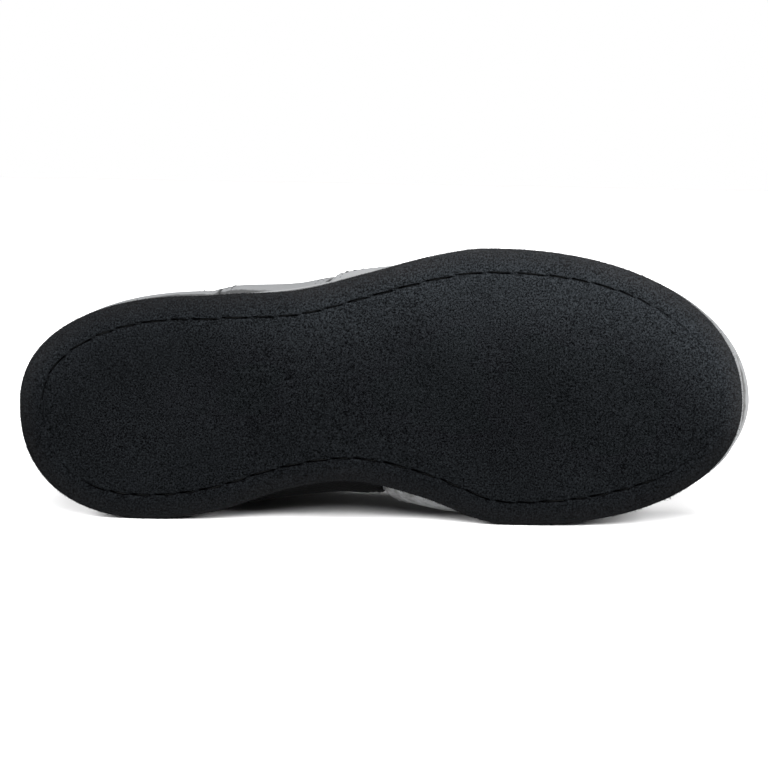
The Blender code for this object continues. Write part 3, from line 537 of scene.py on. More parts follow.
# Midsole
# A light grey layer of moulded rubber foam between felt and upper, with a groove along its side.
# The felt is glued under it and the upper over it.
MIDSOLE_THICK = 7.0
GAP = 0.3
MIDSOLE_COLUMNS = 900
MIDSOLE_PROUD_FADE = 20.0
Proud = namedtuple("Proud", "station amount")
MIDSOLE_PROUD = {
    MEDIAL: (Proud(40, -0.5), Proud(100, -0.5), Proud(190, -0.5), Proud(268, -0.3), Proud(296, 0.7),
             Proud(308, 1.8)),
    LATERAL: (Proud(40, -0.5), Proud(86, -0.5), Proud(104, 0.4), Proud(120, 0.9), Proud(165, 0.3),
              Proud(205, -0.5), Proud(268, -0.3), Proud(296, 0.7), Proud(308, 1.8)),
}
Wall = namedtuple("Wall", "inset share")
MIDSOLE_WALL = (Wall(0.5, 0.0), Wall(0.12, 0.03), Wall(0.0, 0.09), Wall(0.0, 0.36), Wall(0.1, 0.4),
                Wall(0.55, 0.44), Wall(0.9, 0.5), Wall(0.55, 0.56), Wall(0.1, 0.6), Wall(0.0, 0.64),
                Wall(0.0, 0.82), Wall(0.12, 0.91), Wall(0.4, 0.97), Wall(0.9, 1.0), Wall(7.0, 1.0))
GROOVE_INSETS, GROOVE_DUST_AND_SHADE = (0.55, 0.9), 0.8
RUBBER_PALE, RUBBER_SHADE = (0.275, 0.28, 0.286, 1.0), (0.23, 0.234, 0.239, 1.0)
RUBBER_DUST_AND_SHADE = (0.05, 0.049, 0.047, 1.0)
midsole_back = -MIDSOLE_PROUD[LATERAL][0].amount
midsole_front = SOLE_LENGTH + MIDSOLE_PROUD[LATERAL][-1].amount


def midsole_half_width(side, station):
    plain = plan_half_width(FELT_EDGE[side], station, midsole_back, midsole_front)
    return plain + through(MIDSOLE_PROUD[side], station) * np.minimum(1.0, plain / MIDSOLE_PROUD_FADE)


def dirt_and_shade_patches(place, amount):
    """Dirt and painted shade with a ragged edge, where an amount from 0 to 1 passes a half."""
    return sharpen(amount + noise(place, 230.0, 4.0, 0.65) * 0.7 - 0.35, 4.0)


def rubber_finish(name, pale, shade):
    """Moulded rubber: a fine matt skin, faint flow marks, and dust with painted shade in the groove, along
    the sole joint and under the arch.
    """
    finish, shader, place = new_finish(name, roughness=0.6)
    flow = noise(place, (14.0, 60.0, 60.0), 3.0)
    skin_grain = noise(place, 2200.0, 2.0)
    deep = layer_value(place, "deep")
    skin_colour = blend(sharpen(flow * 0.7 + skin_grain * 0.3, 2.0), shade, pale)
    feed(shader, "Base Color", blend(dirt_and_shade_patches(place, deep) * 0.9, skin_colour, RUBBER_DUST_AND_SHADE))
    feed(shader, "Roughness", 0.5 + 0.25 * flow)
    bump(shader, skin_grain + 0.6 * noise(place, 500.0), 0.35, 0.2)
    return finish


midsole_line, midsole_out = sole_outline(midsole_half_width, midsole_back, midsole_front, MIDSOLE_COLUMNS)
wall_insets = np.array([step.inset for step in MIDSOLE_WALL])
wall_heights = FELT_THICK + GAP + (MIDSOLE_THICK - GAP) * np.array([step.share for step in MIDSOLE_WALL])
midsole_insets = np.concatenate(([FELT_MIDDLE_INSET] * 2, wall_insets, [FELT_MIDDLE_INSET] * 3))
midsole_heights = np.concatenate((wall_heights[:1].repeat(2), wall_heights, wall_heights[-1:].repeat(3)))
midsole_shares = np.concatenate(([0.0, 1.0], np.ones(len(wall_insets)), [1.0, 0.5, 0.0]))
midsole_points = sole_rows(midsole_line, midsole_out, midsole_insets, midsole_shares, midsole_heights)
# The groove is coloured darker: dust, and painted shade of the recess.
midsole_deep = GROOVE_DUST_AND_SHADE * np.isin(midsole_insets, GROOVE_INSETS).repeat(MIDSOLE_COLUMNS)
midsole_rubber = rubber_finish("pale_foam_rubber", RUBBER_PALE, RUBBER_SHADE)
add_piece("midsole_foam", midsole_points, grid_faces(len(midsole_insets), MIDSOLE_COLUMNS, closed=True),
          [midsole_rubber], "midsole_rubber", ["midsole"], deep=midsole_deep)


# Upper
# One shell of grey synthetic leather, 2.2 mm with its mesh lining, pulled over a last and open underneath,
# at the throat and at the collar. The foot has pressed soft creases into it at the vamp and the ankle.
WALL = 2.2
FEATHER = FELT_THICK + MIDSOLE_THICK + GAP
FEATHER_INSET, TOE_INSET = 4.0, 2.5
SWELL = 16.0
TOE_TIP, TOE_LEVEL = 316.0, 14.0
COLLAR_LEVEL, COLLAR_DIP, COLLAR_DIP_START = 160.0, 16.0, 95.0
BEND_FADE = 90.0
SHAFT_START, SHAFT_FULL, SHAFT_FRONT, SHAFT_FADE = 25.0, 80.0, 115.0, 200.0
SHAFT_GROWTH = 18.0
THROAT_LEVEL, THROAT_ROUND = 47.0, 9.0
THROAT_HALF_FOOT, THROAT_HALF_TOP = 12.0, 19.0
EYESTAY_WIDTH = 23.0
RIDGE_SAMPLES, SKIN_SAMPLES, SLICE_STEP = 400, 321, 0.5
UPPER_FOOT_LEVEL, UPPER_FOOT_ROWS, VAMP_ROWS, THROAT_FOOT_ROWS, SHAFT_ROWS = 15.0, 13, 34, 12, 74
UPPER_STAY_COLUMNS, UPPER_SIDE_COLUMNS = 20, 110
LINING_PITCH = 2.4
LAST_EDGE = {
    MEDIAL: (Edge(50, 45.0), Edge(84, 43.0), Edge(115, 39.2), Edge(138, 37.5), Edge(152, 38.7),
             Edge(172, 44.0), Edge(188, 47.1), Edge(225, 48.0)),
    LATERAL: (Edge(80, 47.1), Edge(87, 48.7), Edge(93, 49.1), Edge(120, 50.2), Edge(136, 53.8),
              Edge(150, 56.3), Edge(178, 59.2), Edge(205, 62.0)),
}
Ridge = namedtuple("Ridge", "station level")
RIDGE = (
    Ridge(316, 14), Ridge(312, 23.5), Ridge(301, 30.5), Ridge(284, 36), Ridge(262, 41.5), Ridge(240, 48),
    Ridge(220, 56.5), Ridge(200, 68.5), Ridge(182, 83.5), Ridge(167, 101), Ridge(156, 121), Ridge(148, 142),
    Ridge(142.5, 162), Ridge(137, 184),
)
Back = namedtuple("Back", "level station")
BACK = (Back(0, 2.5), Back(22, 1), Back(45, 3), Back(75, 8.5), Back(105, 12), Back(130, 11), Back(162, 5))
Shaft = namedtuple("Shaft", "level half_width")
SHAFT = (Shaft(25, 46), Shaft(60, 42), Shaft(90, 37.8), Shaft(115, 37.6), Shaft(140, 38.7), Shaft(165, 40.5))
Arch = namedtuple("Arch", "station power")
ARCH = (Arch(120, 1.8), Arch(200, 1.9), Arch(250, 2.2), Arch(300, 2.5))
Crease = namedtuple("Crease", "start end depth width")
CREASES = (
    Crease((214, 74), (196, 44), 1.6, 4.0), Crease((229, 66), (218, 46), 1.4, 3.5),
    Crease((196, 82), (172, 56), 1.3, 4.5), Crease((16, 112), (78, 104), 1.7, 5.0),
    Crease((20, 128), (92, 121), 1.5, 4.5), Crease((98, 112), (132, 128), 1.5, 4.5),
    Crease((24, 96), (60, 92), 1.2, 4.0),
)
CREASE_SHOULDER, CREASE_SHOULDER_AWAY = 0.45, 1.7
EYELET_PAIRS, EYELET_INSET, EYELET_HOLE = 6, 10.0, 2.9
UPPER_GREY, UPPER_SHADE = (0.115, 0.119, 0.125, 1.0), (0.088, 0.092, 0.097, 1.0)
LINING_DARK, LINING_LIGHT = (0.012, 0.0127, 0.014, 1.0), (0.036, 0.0375, 0.041, 1.0)


def ridge_curve():
    """Stations, levels and lengths along the top line of the upper, from toe to tongue."""
    rows = np.array(RIDGE, float)
    along = run_lengths(rows)
    tangents = np.gradient(rows, along, axis=0)
    tangents[0] = (0.0, 1.0)
    places = np.linspace(0.0, along[-1], RIDGE_SAMPLES)
    row = np.clip(np.searchsorted(along, places, side="right") - 1, 0, len(rows) - 2)
    span = (along[row + 1] - along[row])[:, None]
    share = (places - along[row])[:, None] / span
    curve = bend(rows[row], rows[row + 1], span * tangents[row], span * tangents[row + 1], share)
    return curve[:, 0], curve[:, 1], run_lengths(curve)


ridge_stations, ridge_levels, ridge_lengths = ridge_curve()


def ridge_level(station):
    """Height of the ridge over the feather line; behind the tongue's top it runs away upwards."""
    level = np.interp(station, ridge_stations[::-1], ridge_levels[::-1])
    return level * np.exp(np.clip(ridge_stations[-1] - station, 0.0, None) / SHAFT_GROWTH)


def evenly_up_the_ridge(low, high, count):
    """Levels that part the ridge between two levels into equal lengths."""
    ends = np.interp((low, high), ridge_levels, ridge_lengths)
    return np.interp(np.linspace(*ends, count), ridge_lengths, ridge_levels)


def level_rows(low, *spans, between=np.linspace):
    """Levels from the lowest through spans of (top, rows), each evenly parted."""
    levels = []
    for high, count in spans:
        levels.append(between(low, high, count)[1 if levels else 0:])
        low = high
    return np.concatenate(levels)


def swell(level, height):
    """Share of its full width that a side has at a level, reached at a height."""
    return np.sin(np.clip(level / height, 0.0, 1.0) * math.pi / 2)


def back_station(level):
    return float(through(BACK, level))


def toe_station(level):
    return float(mix(SOLE_LENGTH - TOE_INSET, TOE_TIP, swell(level, TOE_LEVEL)))


def front_station(level):
    return toe_station(level) if level <= TOE_LEVEL else float(np.interp(level, ridge_levels, ridge_stations))


def upper_half_width(side, station, level):
    """Half-width of the upper: feather line, last and shaft, rounded over to the ridge."""
    back, front = back_station(level), toe_station(level)
    feather = plan_half_width(FELT_EDGE[side], station, back, front, FEATHER_INSET)
    last = plan_half_width(LAST_EDGE[side], station, back, front)
    foot = mix(feather, last, swell(level, SWELL))
    heel_start = LAST_EDGE[side][0].station
    shaft = through(SHAFT, level) * rounded_end((heel_start - station) / (heel_start - back), HEEL_ROUND)
    rise = ease((level - SHAFT_START) / (SHAFT_FULL - SHAFT_START))
    behind = 1.0 - ease((station - SHAFT_FRONT) / (SHAFT_FADE - SHAFT_FRONT))
    arched = rounded_end(level / ridge_level(station), through(ARCH, station))
    return mix(foot, shaft, rise * behind) * arched


@lru_cache(maxsize=None)
def skin_slice(side, level):
    """One side of the upper at a level, from the ridge to the heel: points, lengths and half-widths."""
    back, front = back_station(level), front_station(level)
    turn = np.linspace(0.0, math.pi, SKIN_SAMPLES)
    station = mix(back, front, (1.0 + np.cos(turn)) / 2)
    half = upper_half_width(side, station, level)
    half[0] = half[-1] = 0.0
    rear = np.clip((front - station) / (front - back), 0.0, 1.0)
    dip = COLLAR_DIP * ease((level - COLLAR_DIP_START) / (COLLAR_LEVEL - COLLAR_DIP_START)) * rear
    sole_bend = sole_lift(station) * (1.0 - ease(level / BEND_FADE))
    points = np.stack((station, side * half, FEATHER + level - dip + sole_bend), axis=-1)
    return points, run_lengths(points), half


def slice_length(side, level):
    return float(skin_slice(side, float(level))[1][-1])


def station_length(side, level, station):
    """Distance from the ridge to a station along a slice."""
    points, lengths, _ = skin_slice(side, float(level))
    return float(np.interp(-station, -points[:, 0], lengths))


def throat_edge(side, level):
    """Distance from the ridge to the edge of the throat, zero below the throat."""
    if level <= THROAT_LEVEL:
        return 0.0
    rise = (level - THROAT_LEVEL) / (COLLAR_LEVEL - THROAT_LEVEL)
    start = min((level - THROAT_LEVEL) / THROAT_ROUND, 1.0)
    half_gap = mix(THROAT_HALF_FOOT, THROAT_HALF_TOP, rise) * math.sqrt(start)
    _, lengths, half = skin_slice(side, float(level))
    widest = int(np.argmax(half))
    return float(np.interp(half_gap, half[:widest], lengths[:widest]))


def skin_row(level, across):
    """Points of the upper's outer face at distances from the ridge, positive on the inner side."""
    row = np.empty((len(across), 3))
    for side, chosen in ((MEDIAL, across >= 0.0), (LATERAL, across < 0.0)):
        points, lengths, _ = skin_slice(side, float(level))
        row[chosen] = along_run(points, lengths, np.abs(across[chosen]))
    return row


def skin_grid(levels, across_at):
    """Rows of the upper's outer face at levels, each at its own distances from the ridge."""
    return np.array([skin_row(level, across_at(level)) for level in levels])


def outward(grid):
    """Unit vectors out of a grid of rows that run round the heel or over the ridge."""
    return unit(np.cross(np.gradient(grid, axis=1), np.gradient(grid, axis=0)))


def skin_near(level, across_at):
    """Row of the upper's outer face and the ways out of it, found from slices just below and above it."""
    near = skin_grid((level - SLICE_STEP, level, level + SLICE_STEP), across_at)
    return near[1], outward(near)[1]


def skin_sheet(levels, across_at):
    """Grid of the upper's outer face and the ways out of it."""
    grid, normals = [], []
    for level in levels:
        across = across_at(level)
        row, ways_out = skin_near(level, lambda _: across)
        grid.append(row)
        normals.append(ways_out)
    return np.array(grid), np.array(normals)


def creases(points):
    """Height of the soft troughs and ridges at points of the upper, both sides alike."""
    total = np.zeros(points.shape[:-1])
    flat = points[..., (0, 2)]
    for crease in CREASES:
        start, end = np.array(crease.start, float), np.array(crease.end, float)
        run = end - start
        share = np.clip(((flat - start) @ run) / (run @ run), 0.0, 1.0)
        away = np.linalg.norm(flat - start - share[..., None] * run, axis=-1) / crease.width
        fade = ease(4.0 * share * (1.0 - share))
        shoulder = CREASE_SHOULDER * np.exp(-(away - CREASE_SHOULDER_AWAY) ** 2)
        total += crease.depth * fade * (shoulder - np.exp(-away ** 2))
    return total


def spread(start, end, count):
    """Lengths from start to end, closer together at both ends."""
    even = np.linspace(0.0, 1.0, count)
    return mix(start, end, (even + (1.0 - np.cos(math.pi * even)) / 2) / 2)


def shell(outer, inner, faces):
    """Closed skin of a sheet, with a wall along each open edge: points, faces, face kinds and kept points."""
    outer, inner = outer.reshape(-1, 3), inner.reshape(-1, 3)
    _, first, same = np.unique(np.round(outer, 3), axis=0, return_index=True, return_inverse=True)
    faces = same.reshape(-1)[faces]
    count = len(first)
    starts, ends = faces.reshape(-1), np.roll(faces, -1, axis=1).reshape(-1)
    open_edge = ~np.isin(starts * count + ends, ends * count + starts)
    starts, ends = starts[open_edge], ends[open_edge]
    walls = np.stack((ends, starts, starts + count, ends + count), axis=-1)
    kinds = np.repeat((0, 1, 0), (len(faces), len(faces), len(walls)))
    points = np.concatenate((outer[first], inner[first]))
    return points, np.concatenate((faces, faces[:, ::-1] + count, walls)), kinds, first


def punched(grid, faces):
    """Faces of a grid without those that lie in an eyelet's hole."""
    middles = grid.reshape(-1, 3)[faces].mean(axis=1)
    away = np.linalg.norm(middles[:, None] - eyelet_feet, axis=2).min(axis=1)
    return faces[away > EYELET_HOLE]


def synthetic_finish(name, colour, shade, grain=900.0, rough=0.58, gloss=0.3):
    """Coated synthetic leather: pebbled grain, faint mottling, a rubbed edge where it is cut, and dirt with
    painted shade along the sole joint.
    """
    finish, shader, place = new_finish(name, specular_ior_level=gloss)
    cells = place.node("TexVoronoi", {"feature": "F1"}, {"Vector": place, "Scale": grain}, "Distance")
    mottle = noise(place, 45.0, 4.0, 0.6)
    pores = noise(place, 2600.0, 1.0)
    skin_colour = blend(sharpen(mottle * 0.75 + pores * 0.25, 2.2), shade, colour)
    rubbed = layer_value(place, "rubbed")
    soiled_and_shaded = dirt_and_shade_patches(place, rubbed) * 0.85
    feed(shader, "Base Color", blend(soiled_and_shaded, skin_colour, [0.15 * part for part in shade[:3]] + [1.0]))
    feed(shader, "Roughness", rough - 0.1 + 0.2 * mottle)
    bump(shader, cells * 0.8 + pores * 0.3 + mottle * 0.4, 0.5, 0.25)
    return finish


def cloth_layer(across, along):
    """Place of each point of a grid on the flat cloth that covers it."""
    across, along = np.broadcast_arrays(across, along)
    return np.stack((across, along, np.zeros(across.shape)), axis=-1).reshape(-1, 3)


def layer_ways(place, name):
    """The two ways across the cloth that a mesh carries at each point."""
    cloth = place.node("Attribute", {"attribute_name": name}, {}, "Vector")
    return [cloth.node("SeparateXYZ", {}, {"Vector": cloth}, axis) for axis in "XY"]


def crossed_waves(first, second):
    """Weave from 0 to 1, of two sets of waves that cross."""
    return first.math("SINE", first) * second.math("SINE", second) * 0.5 + 0.5


def mesh_cloth_finish(name, dark, light, pitch):
    """Knitted spacer cloth: rows of small loops, at a pitch in millimetres along the cloth."""
    finish, shader, place = new_finish(name, roughness=0.9, sheen_weight=0.2)
    loops = crossed_waves(*(way * (math.tau / pitch) for way in layer_ways(place, "cloth")))
    feed(shader, "Base Color", blend(sharpen(loops * 0.7 + noise(place, 700.0) * 0.3, 1.6), dark, light))
    bump(shader, loops + 0.4 * noise(place, 1800.0), 0.7, 0.4)
    return finish


eyelet_levels = [float(level) for level in
                 evenly_up_the_ridge(THROAT_LEVEL, COLLAR_LEVEL, 2 * EYELET_PAIRS + 1)[1::2]]
eyelet_feet = np.array([
    skin_row(level, np.array([side * (throat_edge(side, level) + EYELET_INSET)]))[0]
    for side in SIDE_NAMES for level in eyelet_levels
])


def upper_across(level):
    """Columns of the upper at a level: inner front edge, round the heel, outer front edge."""
    sides = []
    for side in SIDE_NAMES:
        edge = throat_edge(side, level)
        stay = np.linspace(edge, edge + EYESTAY_WIDTH, UPPER_STAY_COLUMNS)
        behind = spread(stay[-1], slice_length(side, level), UPPER_SIDE_COLUMNS)
        sides.append(np.concatenate((stay, behind[1:])))
    return np.concatenate((sides[0], -sides[1][-2::-1]))


ridge_rows = level_rows(
    UPPER_FOOT_LEVEL, (THROAT_LEVEL, VAMP_ROWS), (THROAT_LEVEL + THROAT_ROUND, THROAT_FOOT_ROWS),
    (COLLAR_LEVEL, SHAFT_ROWS), between=evenly_up_the_ridge)
upper_levels = np.concatenate((np.linspace(0.0, UPPER_FOOT_LEVEL, UPPER_FOOT_ROWS), ridge_rows[1:]))
upper_grid = skin_grid(upper_levels, upper_across)
upper_normals = outward(upper_grid)
whole = upper_levels <= THROAT_LEVEL
upper_normals[whole, 0] = unit(upper_normals[whole, 0] + upper_normals[whole, -1])
upper_normals[whole, -1] = upper_normals[whole, 0]
upper_outer = upper_grid + upper_normals * creases(upper_grid)[..., None]
upper_inner = upper_outer - upper_normals * WALL
upper_faces = punched(upper_grid, grid_faces(*upper_grid.shape[:2]))
upper_cloth = cloth_layer(np.array([upper_across(level) for level in upper_levels]), upper_levels[:, None])
upper_points, upper_faces, upper_kinds, upper_first = shell(upper_outer, upper_inner, upper_faces)
grey_synthetic = synthetic_finish("grey_synthetic", UPPER_GREY, UPPER_SHADE)
lining = mesh_cloth_finish("mesh_lining", LINING_DARK, LINING_LIGHT, LINING_PITCH)
add_piece("upper_shell", upper_points, upper_faces, [grey_synthetic, lining], "upper_synthetic", ["upper"],
          upper_kinds, cloth=np.tile(upper_cloth[upper_first], (2, 1)), rubbed=np.zeros(len(upper_points)))


# Insole
# A footbed of foam under dark knit cloth, die-cut and cupped a little round its edge.
# It lies loose on the midsole, inside the upper.
INSOLE_THICK = 4.0
INSOLE_PLAY, INSOLE_HEEL_PLAY, INSOLE_TOE_PLAY = 1.2, 0.8, 1.0
INSOLE_COLUMNS = 500
INSOLE_CUP, INSOLE_CUP_REACH = 1.6, 12.0
Ring = namedtuple("Ring", "inset share")
INSOLE_BASE = (Ring(16.0, 0.0), Ring(16.0, 1.0), Ring(0.4, 1.0), Ring(0.0, 1.0), Ring(0.0, 1.0))
INSOLE_BASE_HEIGHTS = (0.0, 0.0, 0.0, 0.5, 3.6)
INSOLE_TOP = (Ring(0.3, 1.0), Ring(1.0, 1.0), Ring(2.2, 1.0), Ring(4.0, 1.0), Ring(7.0, 1.0), Ring(11.0, 1.0),
              Ring(16.0, 1.0), Ring(16.0, 0.7), Ring(16.0, 0.35), Ring(16.0, 0.0))
INSOLE_PITCH = 1.8
INSOLE_DARK, INSOLE_LIGHT = (0.02, 0.021, 0.023, 1.0), (0.055, 0.057, 0.062, 1.0)
insole_inset = FEATHER_INSET + WALL + INSOLE_PLAY
insole_back = insole_inset + INSOLE_HEEL_PLAY
insole_front = SOLE_LENGTH - insole_inset - INSOLE_TOE_PLAY


def insole_half_width(side, station):
    return plan_half_width(FELT_EDGE[side], station, insole_back, insole_front, insole_inset)


insole_line, insole_out = sole_outline(insole_half_width, insole_back, insole_front, INSOLE_COLUMNS)
insole_insets, insole_shares = np.array(INSOLE_BASE + INSOLE_TOP).T
top_insets, top_shares = np.array(INSOLE_TOP).T
insole_top = INSOLE_THICK + INSOLE_CUP * ease(1.0 - top_insets / INSOLE_CUP_REACH) * top_shares
insole_heights = FEATHER + np.concatenate((INSOLE_BASE_HEIGHTS, insole_top))
insole_points = sole_rows(insole_line, insole_out, insole_insets, insole_shares, insole_heights)
insole_knit = mesh_cloth_finish("insole_knit", INSOLE_DARK, INSOLE_LIGHT, INSOLE_PITCH)
add_piece("insole_footbed", insole_points, grid_faces(len(insole_insets), INSOLE_COLUMNS, closed=True),
          [insole_knit], "insole_cloth", ["insole"], cloth=insole_points.reshape(-1, 3))


# Toe cap
# A light grey rubber guard moulded over the toe, with a low wing along each side of the sole.
# It is glued to the upper and sewn along its border with two rows of stitches.
Border = namedtuple("Border", "level station")
TOE_CAP_BACK = (Border(-9, 131), Border(10, 134), Border(18, 145), Border(24, 205), Border(30, 244),
                Border(42, 268))
INNER_WING_BACK = (Border(-9, 158), Border(15, 160), Border(21, 178), Border(24, 205))
OVERLAY_FOOT, OVERLAY_GAP = 0.4, 0.25
TOE_CAP_THICK, TOE_CAP_EDGE = 2.4, (0.9, 3.5)
CAP_COLUMNS, CAP_ROUND_LEVEL, CAP_WING_LEVEL, CAP_ROWS = 230, 14.0, 31.0, (18, 40, 26)
CAP_TOP_RANGE, CAP_TOP_GAP, HALVINGS = (30.0, 46.0), 0.4, 40
SKIVE_CUT, BORDER_STEP = 0.45, 0.8
EDGE_SOIL, EDGE_SOIL_REACH = 0.7, 1.1
# Along the sole joint the layers on the upper darken up to these levels: dirt, and painted shade of the
# joint.
DirtAndShade = namedtuple("DirtAndShade", "station level")
JOINT_DIRT_AND_SHADE = (DirtAndShade(20, 6.0), DirtAndShade(58, 8.8), DirtAndShade(82, 8.6), DirtAndShade(98, 7.0), DirtAndShade(116, 4.6), DirtAndShade(270, 4.4),
              DirtAndShade(300, 6.1))
JOINT_DIRT_AND_SHADE_EDGE, INNER_JOINT_DIRT_AND_SHADE = 3.0, 0.2
INNER_DIRT_AND_SHADE_START, INNER_DIRT_AND_SHADE_FADE = 8.0, 36.0
# Painted shade: the inner wing is coloured darker towards the arch, where it lies in shade.
WingShade = namedtuple("WingShade", "station amount")
WING_PAINTED_SHADE = (WingShade(158, 0.6), WingShade(178, 0.41), WingShade(205, 0.0))
SEAM_ROWS = (2.6, 5.0)
SEAM_TROUGH, SEAM_TROUGH_REACH = 0.28, 0.7
CAP_PALE, CAP_SHADE = (0.26, 0.265, 0.27, 1.0), (0.22, 0.225, 0.23, 1.0)
SEAM_STITCH, SEAM_STITCH_SHARE, SEAM_THREAD = 3.6, 0.74, 0.34
SEAM_THREAD_SINK = 0.15
seam_stitches = []


def meeting_level(low, high, apart):
    """Level between two at which a distance that shrinks as the level rises comes down to nothing."""
    for _ in range(HALVINGS):
        middle = (low + high) / 2
        low, high = (middle, high) if apart(middle) > 0.0 else (low, middle)
    return low


def border_distance(grid, border):
    """Distance from each point of a grid to the nearest point of a border."""
    return line_distance(grid.reshape(-1, 3), border).reshape(grid.shape[:2])


def even_run(line, step):
    """Line with points a step apart."""
    lengths = run_lengths(line)
    return along_run(line, lengths, np.linspace(0.0, lengths[-1], max(2, int(lengths[-1] / step))))


def edge_rise(away, edge):
    """Share of a layer's thickness at a distance from its border, which is rounded and skived thinner."""
    rounded, skived = edge
    blunt = np.sqrt(1.0 - (1.0 - np.clip(away / rounded, 0.0, 1.0)) ** 2)
    return blunt * (1.0 - SKIVE_CUT * (1.0 - ease(away / skived)))


def layer_on_upper(grid, normals, border, thick, edge, faces=None, seams=SEAM_ROWS):
    """Closed layer on the upper, thinner at its border and drawn in along its seams, darkened at the sole
    with dirt and painted shade.
    """
    away = border_distance(grid, even_run(border, BORDER_STEP))
    rise = edge_rise(away, edge)
    drawn = sum(np.exp(-((away - seam) / SEAM_TROUGH_REACH) ** 2) for seam in seams)
    base = creases(grid) + OVERLAY_GAP
    outer = grid + normals * (base + thick * rise - SEAM_TROUGH * drawn)[..., None]
    inner = grid + normals * (base - 2 * OVERLAY_GAP)[..., None]
    sheet = grid_faces(*grid.shape[:2]) if faces is None else faces
    points, faces, _, first = shell(outer, inner, sheet)
    over_joint = grid[..., 2] - FEATHER - sole_lift(grid[..., 0])
    under_edge = through(JOINT_DIRT_AND_SHADE, grid[..., 0]) - over_joint
    joint_dirt_and_shade = np.clip(0.5 + under_edge / (2.0 * JOINT_DIRT_AND_SHADE_EDGE), 0.0, 1.0)
    joint_dirt_and_shade = joint_dirt_and_shade * mix(1.0, INNER_JOINT_DIRT_AND_SHADE, ease((grid[..., 1] - INNER_DIRT_AND_SHADE_START) / INNER_DIRT_AND_SHADE_FADE))
    rubbed = np.maximum(EDGE_SOIL * np.exp(-(away / EDGE_SOIL_REACH) ** 2), joint_dirt_and_shade)
    return points, faces, np.tile(rubbed.reshape(-1)[first], 2)


def sew(border, normals, thick, edge, seams=SEAM_ROWS, inwards=1.0):
    """Rows of stitches along a border, each some way in from it."""
    lengths = run_lengths(border)
    places = np.linspace(0.0, lengths[-1], int(lengths[-1] / SEAM_STITCH))
    line, normals = along_run(border, lengths, places), unit(along_run(normals, lengths, places))
    sideways = inwards * unit(np.cross(np.gradient(line, axis=0), normals))
    base = creases(line)[:, None] + OVERLAY_GAP - SEAM_TROUGH
    for seam in seams:
        path = line + sideways * seam + normals * (base + thick * edge_rise(seam, edge))
        length = run_lengths(path)[-1]
        count = int(length / SEAM_STITCH)
        middles = (np.arange(count) + 0.5) * length / count
        spans = np.full(count, SEAM_STITCH * SEAM_STITCH_SHARE)
        seam_stitches.append(thread_stitches(path, normals, middles, spans, SEAM_THREAD, -SEAM_THREAD_SINK))


def side_border(grid):
    """Border of a layer: up its first column, along its top and down its last column."""
    return np.concatenate((grid[:, 0], grid[-1, 1:-1], grid[::-1, -1]))


def cap_across(level):
    """Columns of the cap at a level, from the end of its outer wing to that of its inner one."""
    outer = float(through(TOE_CAP_BACK, level))
    inner = max(outer, float(through(INNER_WING_BACK, level)))
    ends = -station_length(LATERAL, level, outer), station_length(MEDIAL, level, inner)
    return np.linspace(*ends, CAP_COLUMNS)


def cap_length(level):
    """How far the cap reaches back from the upper's front at a level, less a small gap."""
    return front_station(level) - float(through(TOE_CAP_BACK, level)) - CAP_TOP_GAP


cap_top = meeting_level(*CAP_TOP_RANGE, cap_length)
cap_levels = level_rows(OVERLAY_FOOT, *zip((CAP_ROUND_LEVEL, CAP_WING_LEVEL, cap_top), CAP_ROWS))
cap_grid, cap_normals = skin_sheet(cap_levels, cap_across)
cap_points, cap_faces, cap_rubbed = layer_on_upper(
    cap_grid, cap_normals, side_border(cap_grid), TOE_CAP_THICK, TOE_CAP_EDGE)
cap_rubber = rubber_finish("toe_rubber", CAP_PALE, CAP_SHADE)
# The back end of the inner wing carries painted shade from under the arch.
wing_painted_shade = through(WING_PAINTED_SHADE, cap_points[:, 0]) * (cap_points[:, 1] > 0.0)
add_piece("toe_guard", cap_points, cap_faces, [cap_rubber], "toe_rubber", ["toe_cap"],
          deep=np.maximum(cap_rubbed, wing_painted_shade))
sew(side_border(cap_grid), side_border(cap_normals), TOE_CAP_THICK, TOE_CAP_EDGE)


# Heel counter
# A low guard of grey synthetic leather wrapped round the heel, glued to the upper.
# Two rows of stitches along its border hold it.
COUNTER_FRONT = (Border(-9, 83), Border(20, 85.4), Border(32, 84), Border(62, 40), Border(68, -20))
COUNTER_THICK, COUNTER_EDGE = 0.9, (0.9, 0.1)
COUNTER_COLUMNS, COUNTER_ROUND_LEVEL, COUNTER_ROWS = 80, 58.0, (60, 30)
COUNTER_TOP_RANGE, COUNTER_TOP_GAP = (40.0, 68.0), 0.4
GUARD_GREY, GUARD_SHADE = (0.215, 0.219, 0.224, 1.0), (0.175, 0.179, 0.184, 1.0)


def counter_across(level):
    """Columns of the counter at a level, from its inner front round the heel to its outer front."""
    station = float(through(COUNTER_FRONT, level))
    inner, outer = (
        np.linspace(station_length(side, level, station), slice_length(side, level), COUNTER_COLUMNS)
        for side in SIDE_NAMES
    )
    return np.concatenate((inner, -outer[-2::-1]))


def counter_length(level):
    """How far the counter reaches forward from the heel at a level, less a small gap."""
    return float(through(COUNTER_FRONT, level)) - back_station(level) - COUNTER_TOP_GAP


counter_top = meeting_level(*COUNTER_TOP_RANGE, counter_length)
counter_levels = level_rows(OVERLAY_FOOT, *zip((COUNTER_ROUND_LEVEL, counter_top), COUNTER_ROWS))
counter_grid, counter_normals = skin_sheet(counter_levels, counter_across)
counter_points, counter_faces, counter_rubbed = layer_on_upper(
    counter_grid, counter_normals, side_border(counter_grid), COUNTER_THICK, COUNTER_EDGE)
guard_synthetic = synthetic_finish("guard_synthetic", GUARD_GREY, GUARD_SHADE, 700.0)
add_piece("heel_guard", counter_points, counter_faces, [guard_synthetic], "guard_synthetic", ["heel_counter"],
          rubbed=counter_rubbed)
sew(side_border(counter_grid), side_border(counter_normals), COUNTER_THICK, COUNTER_EDGE)
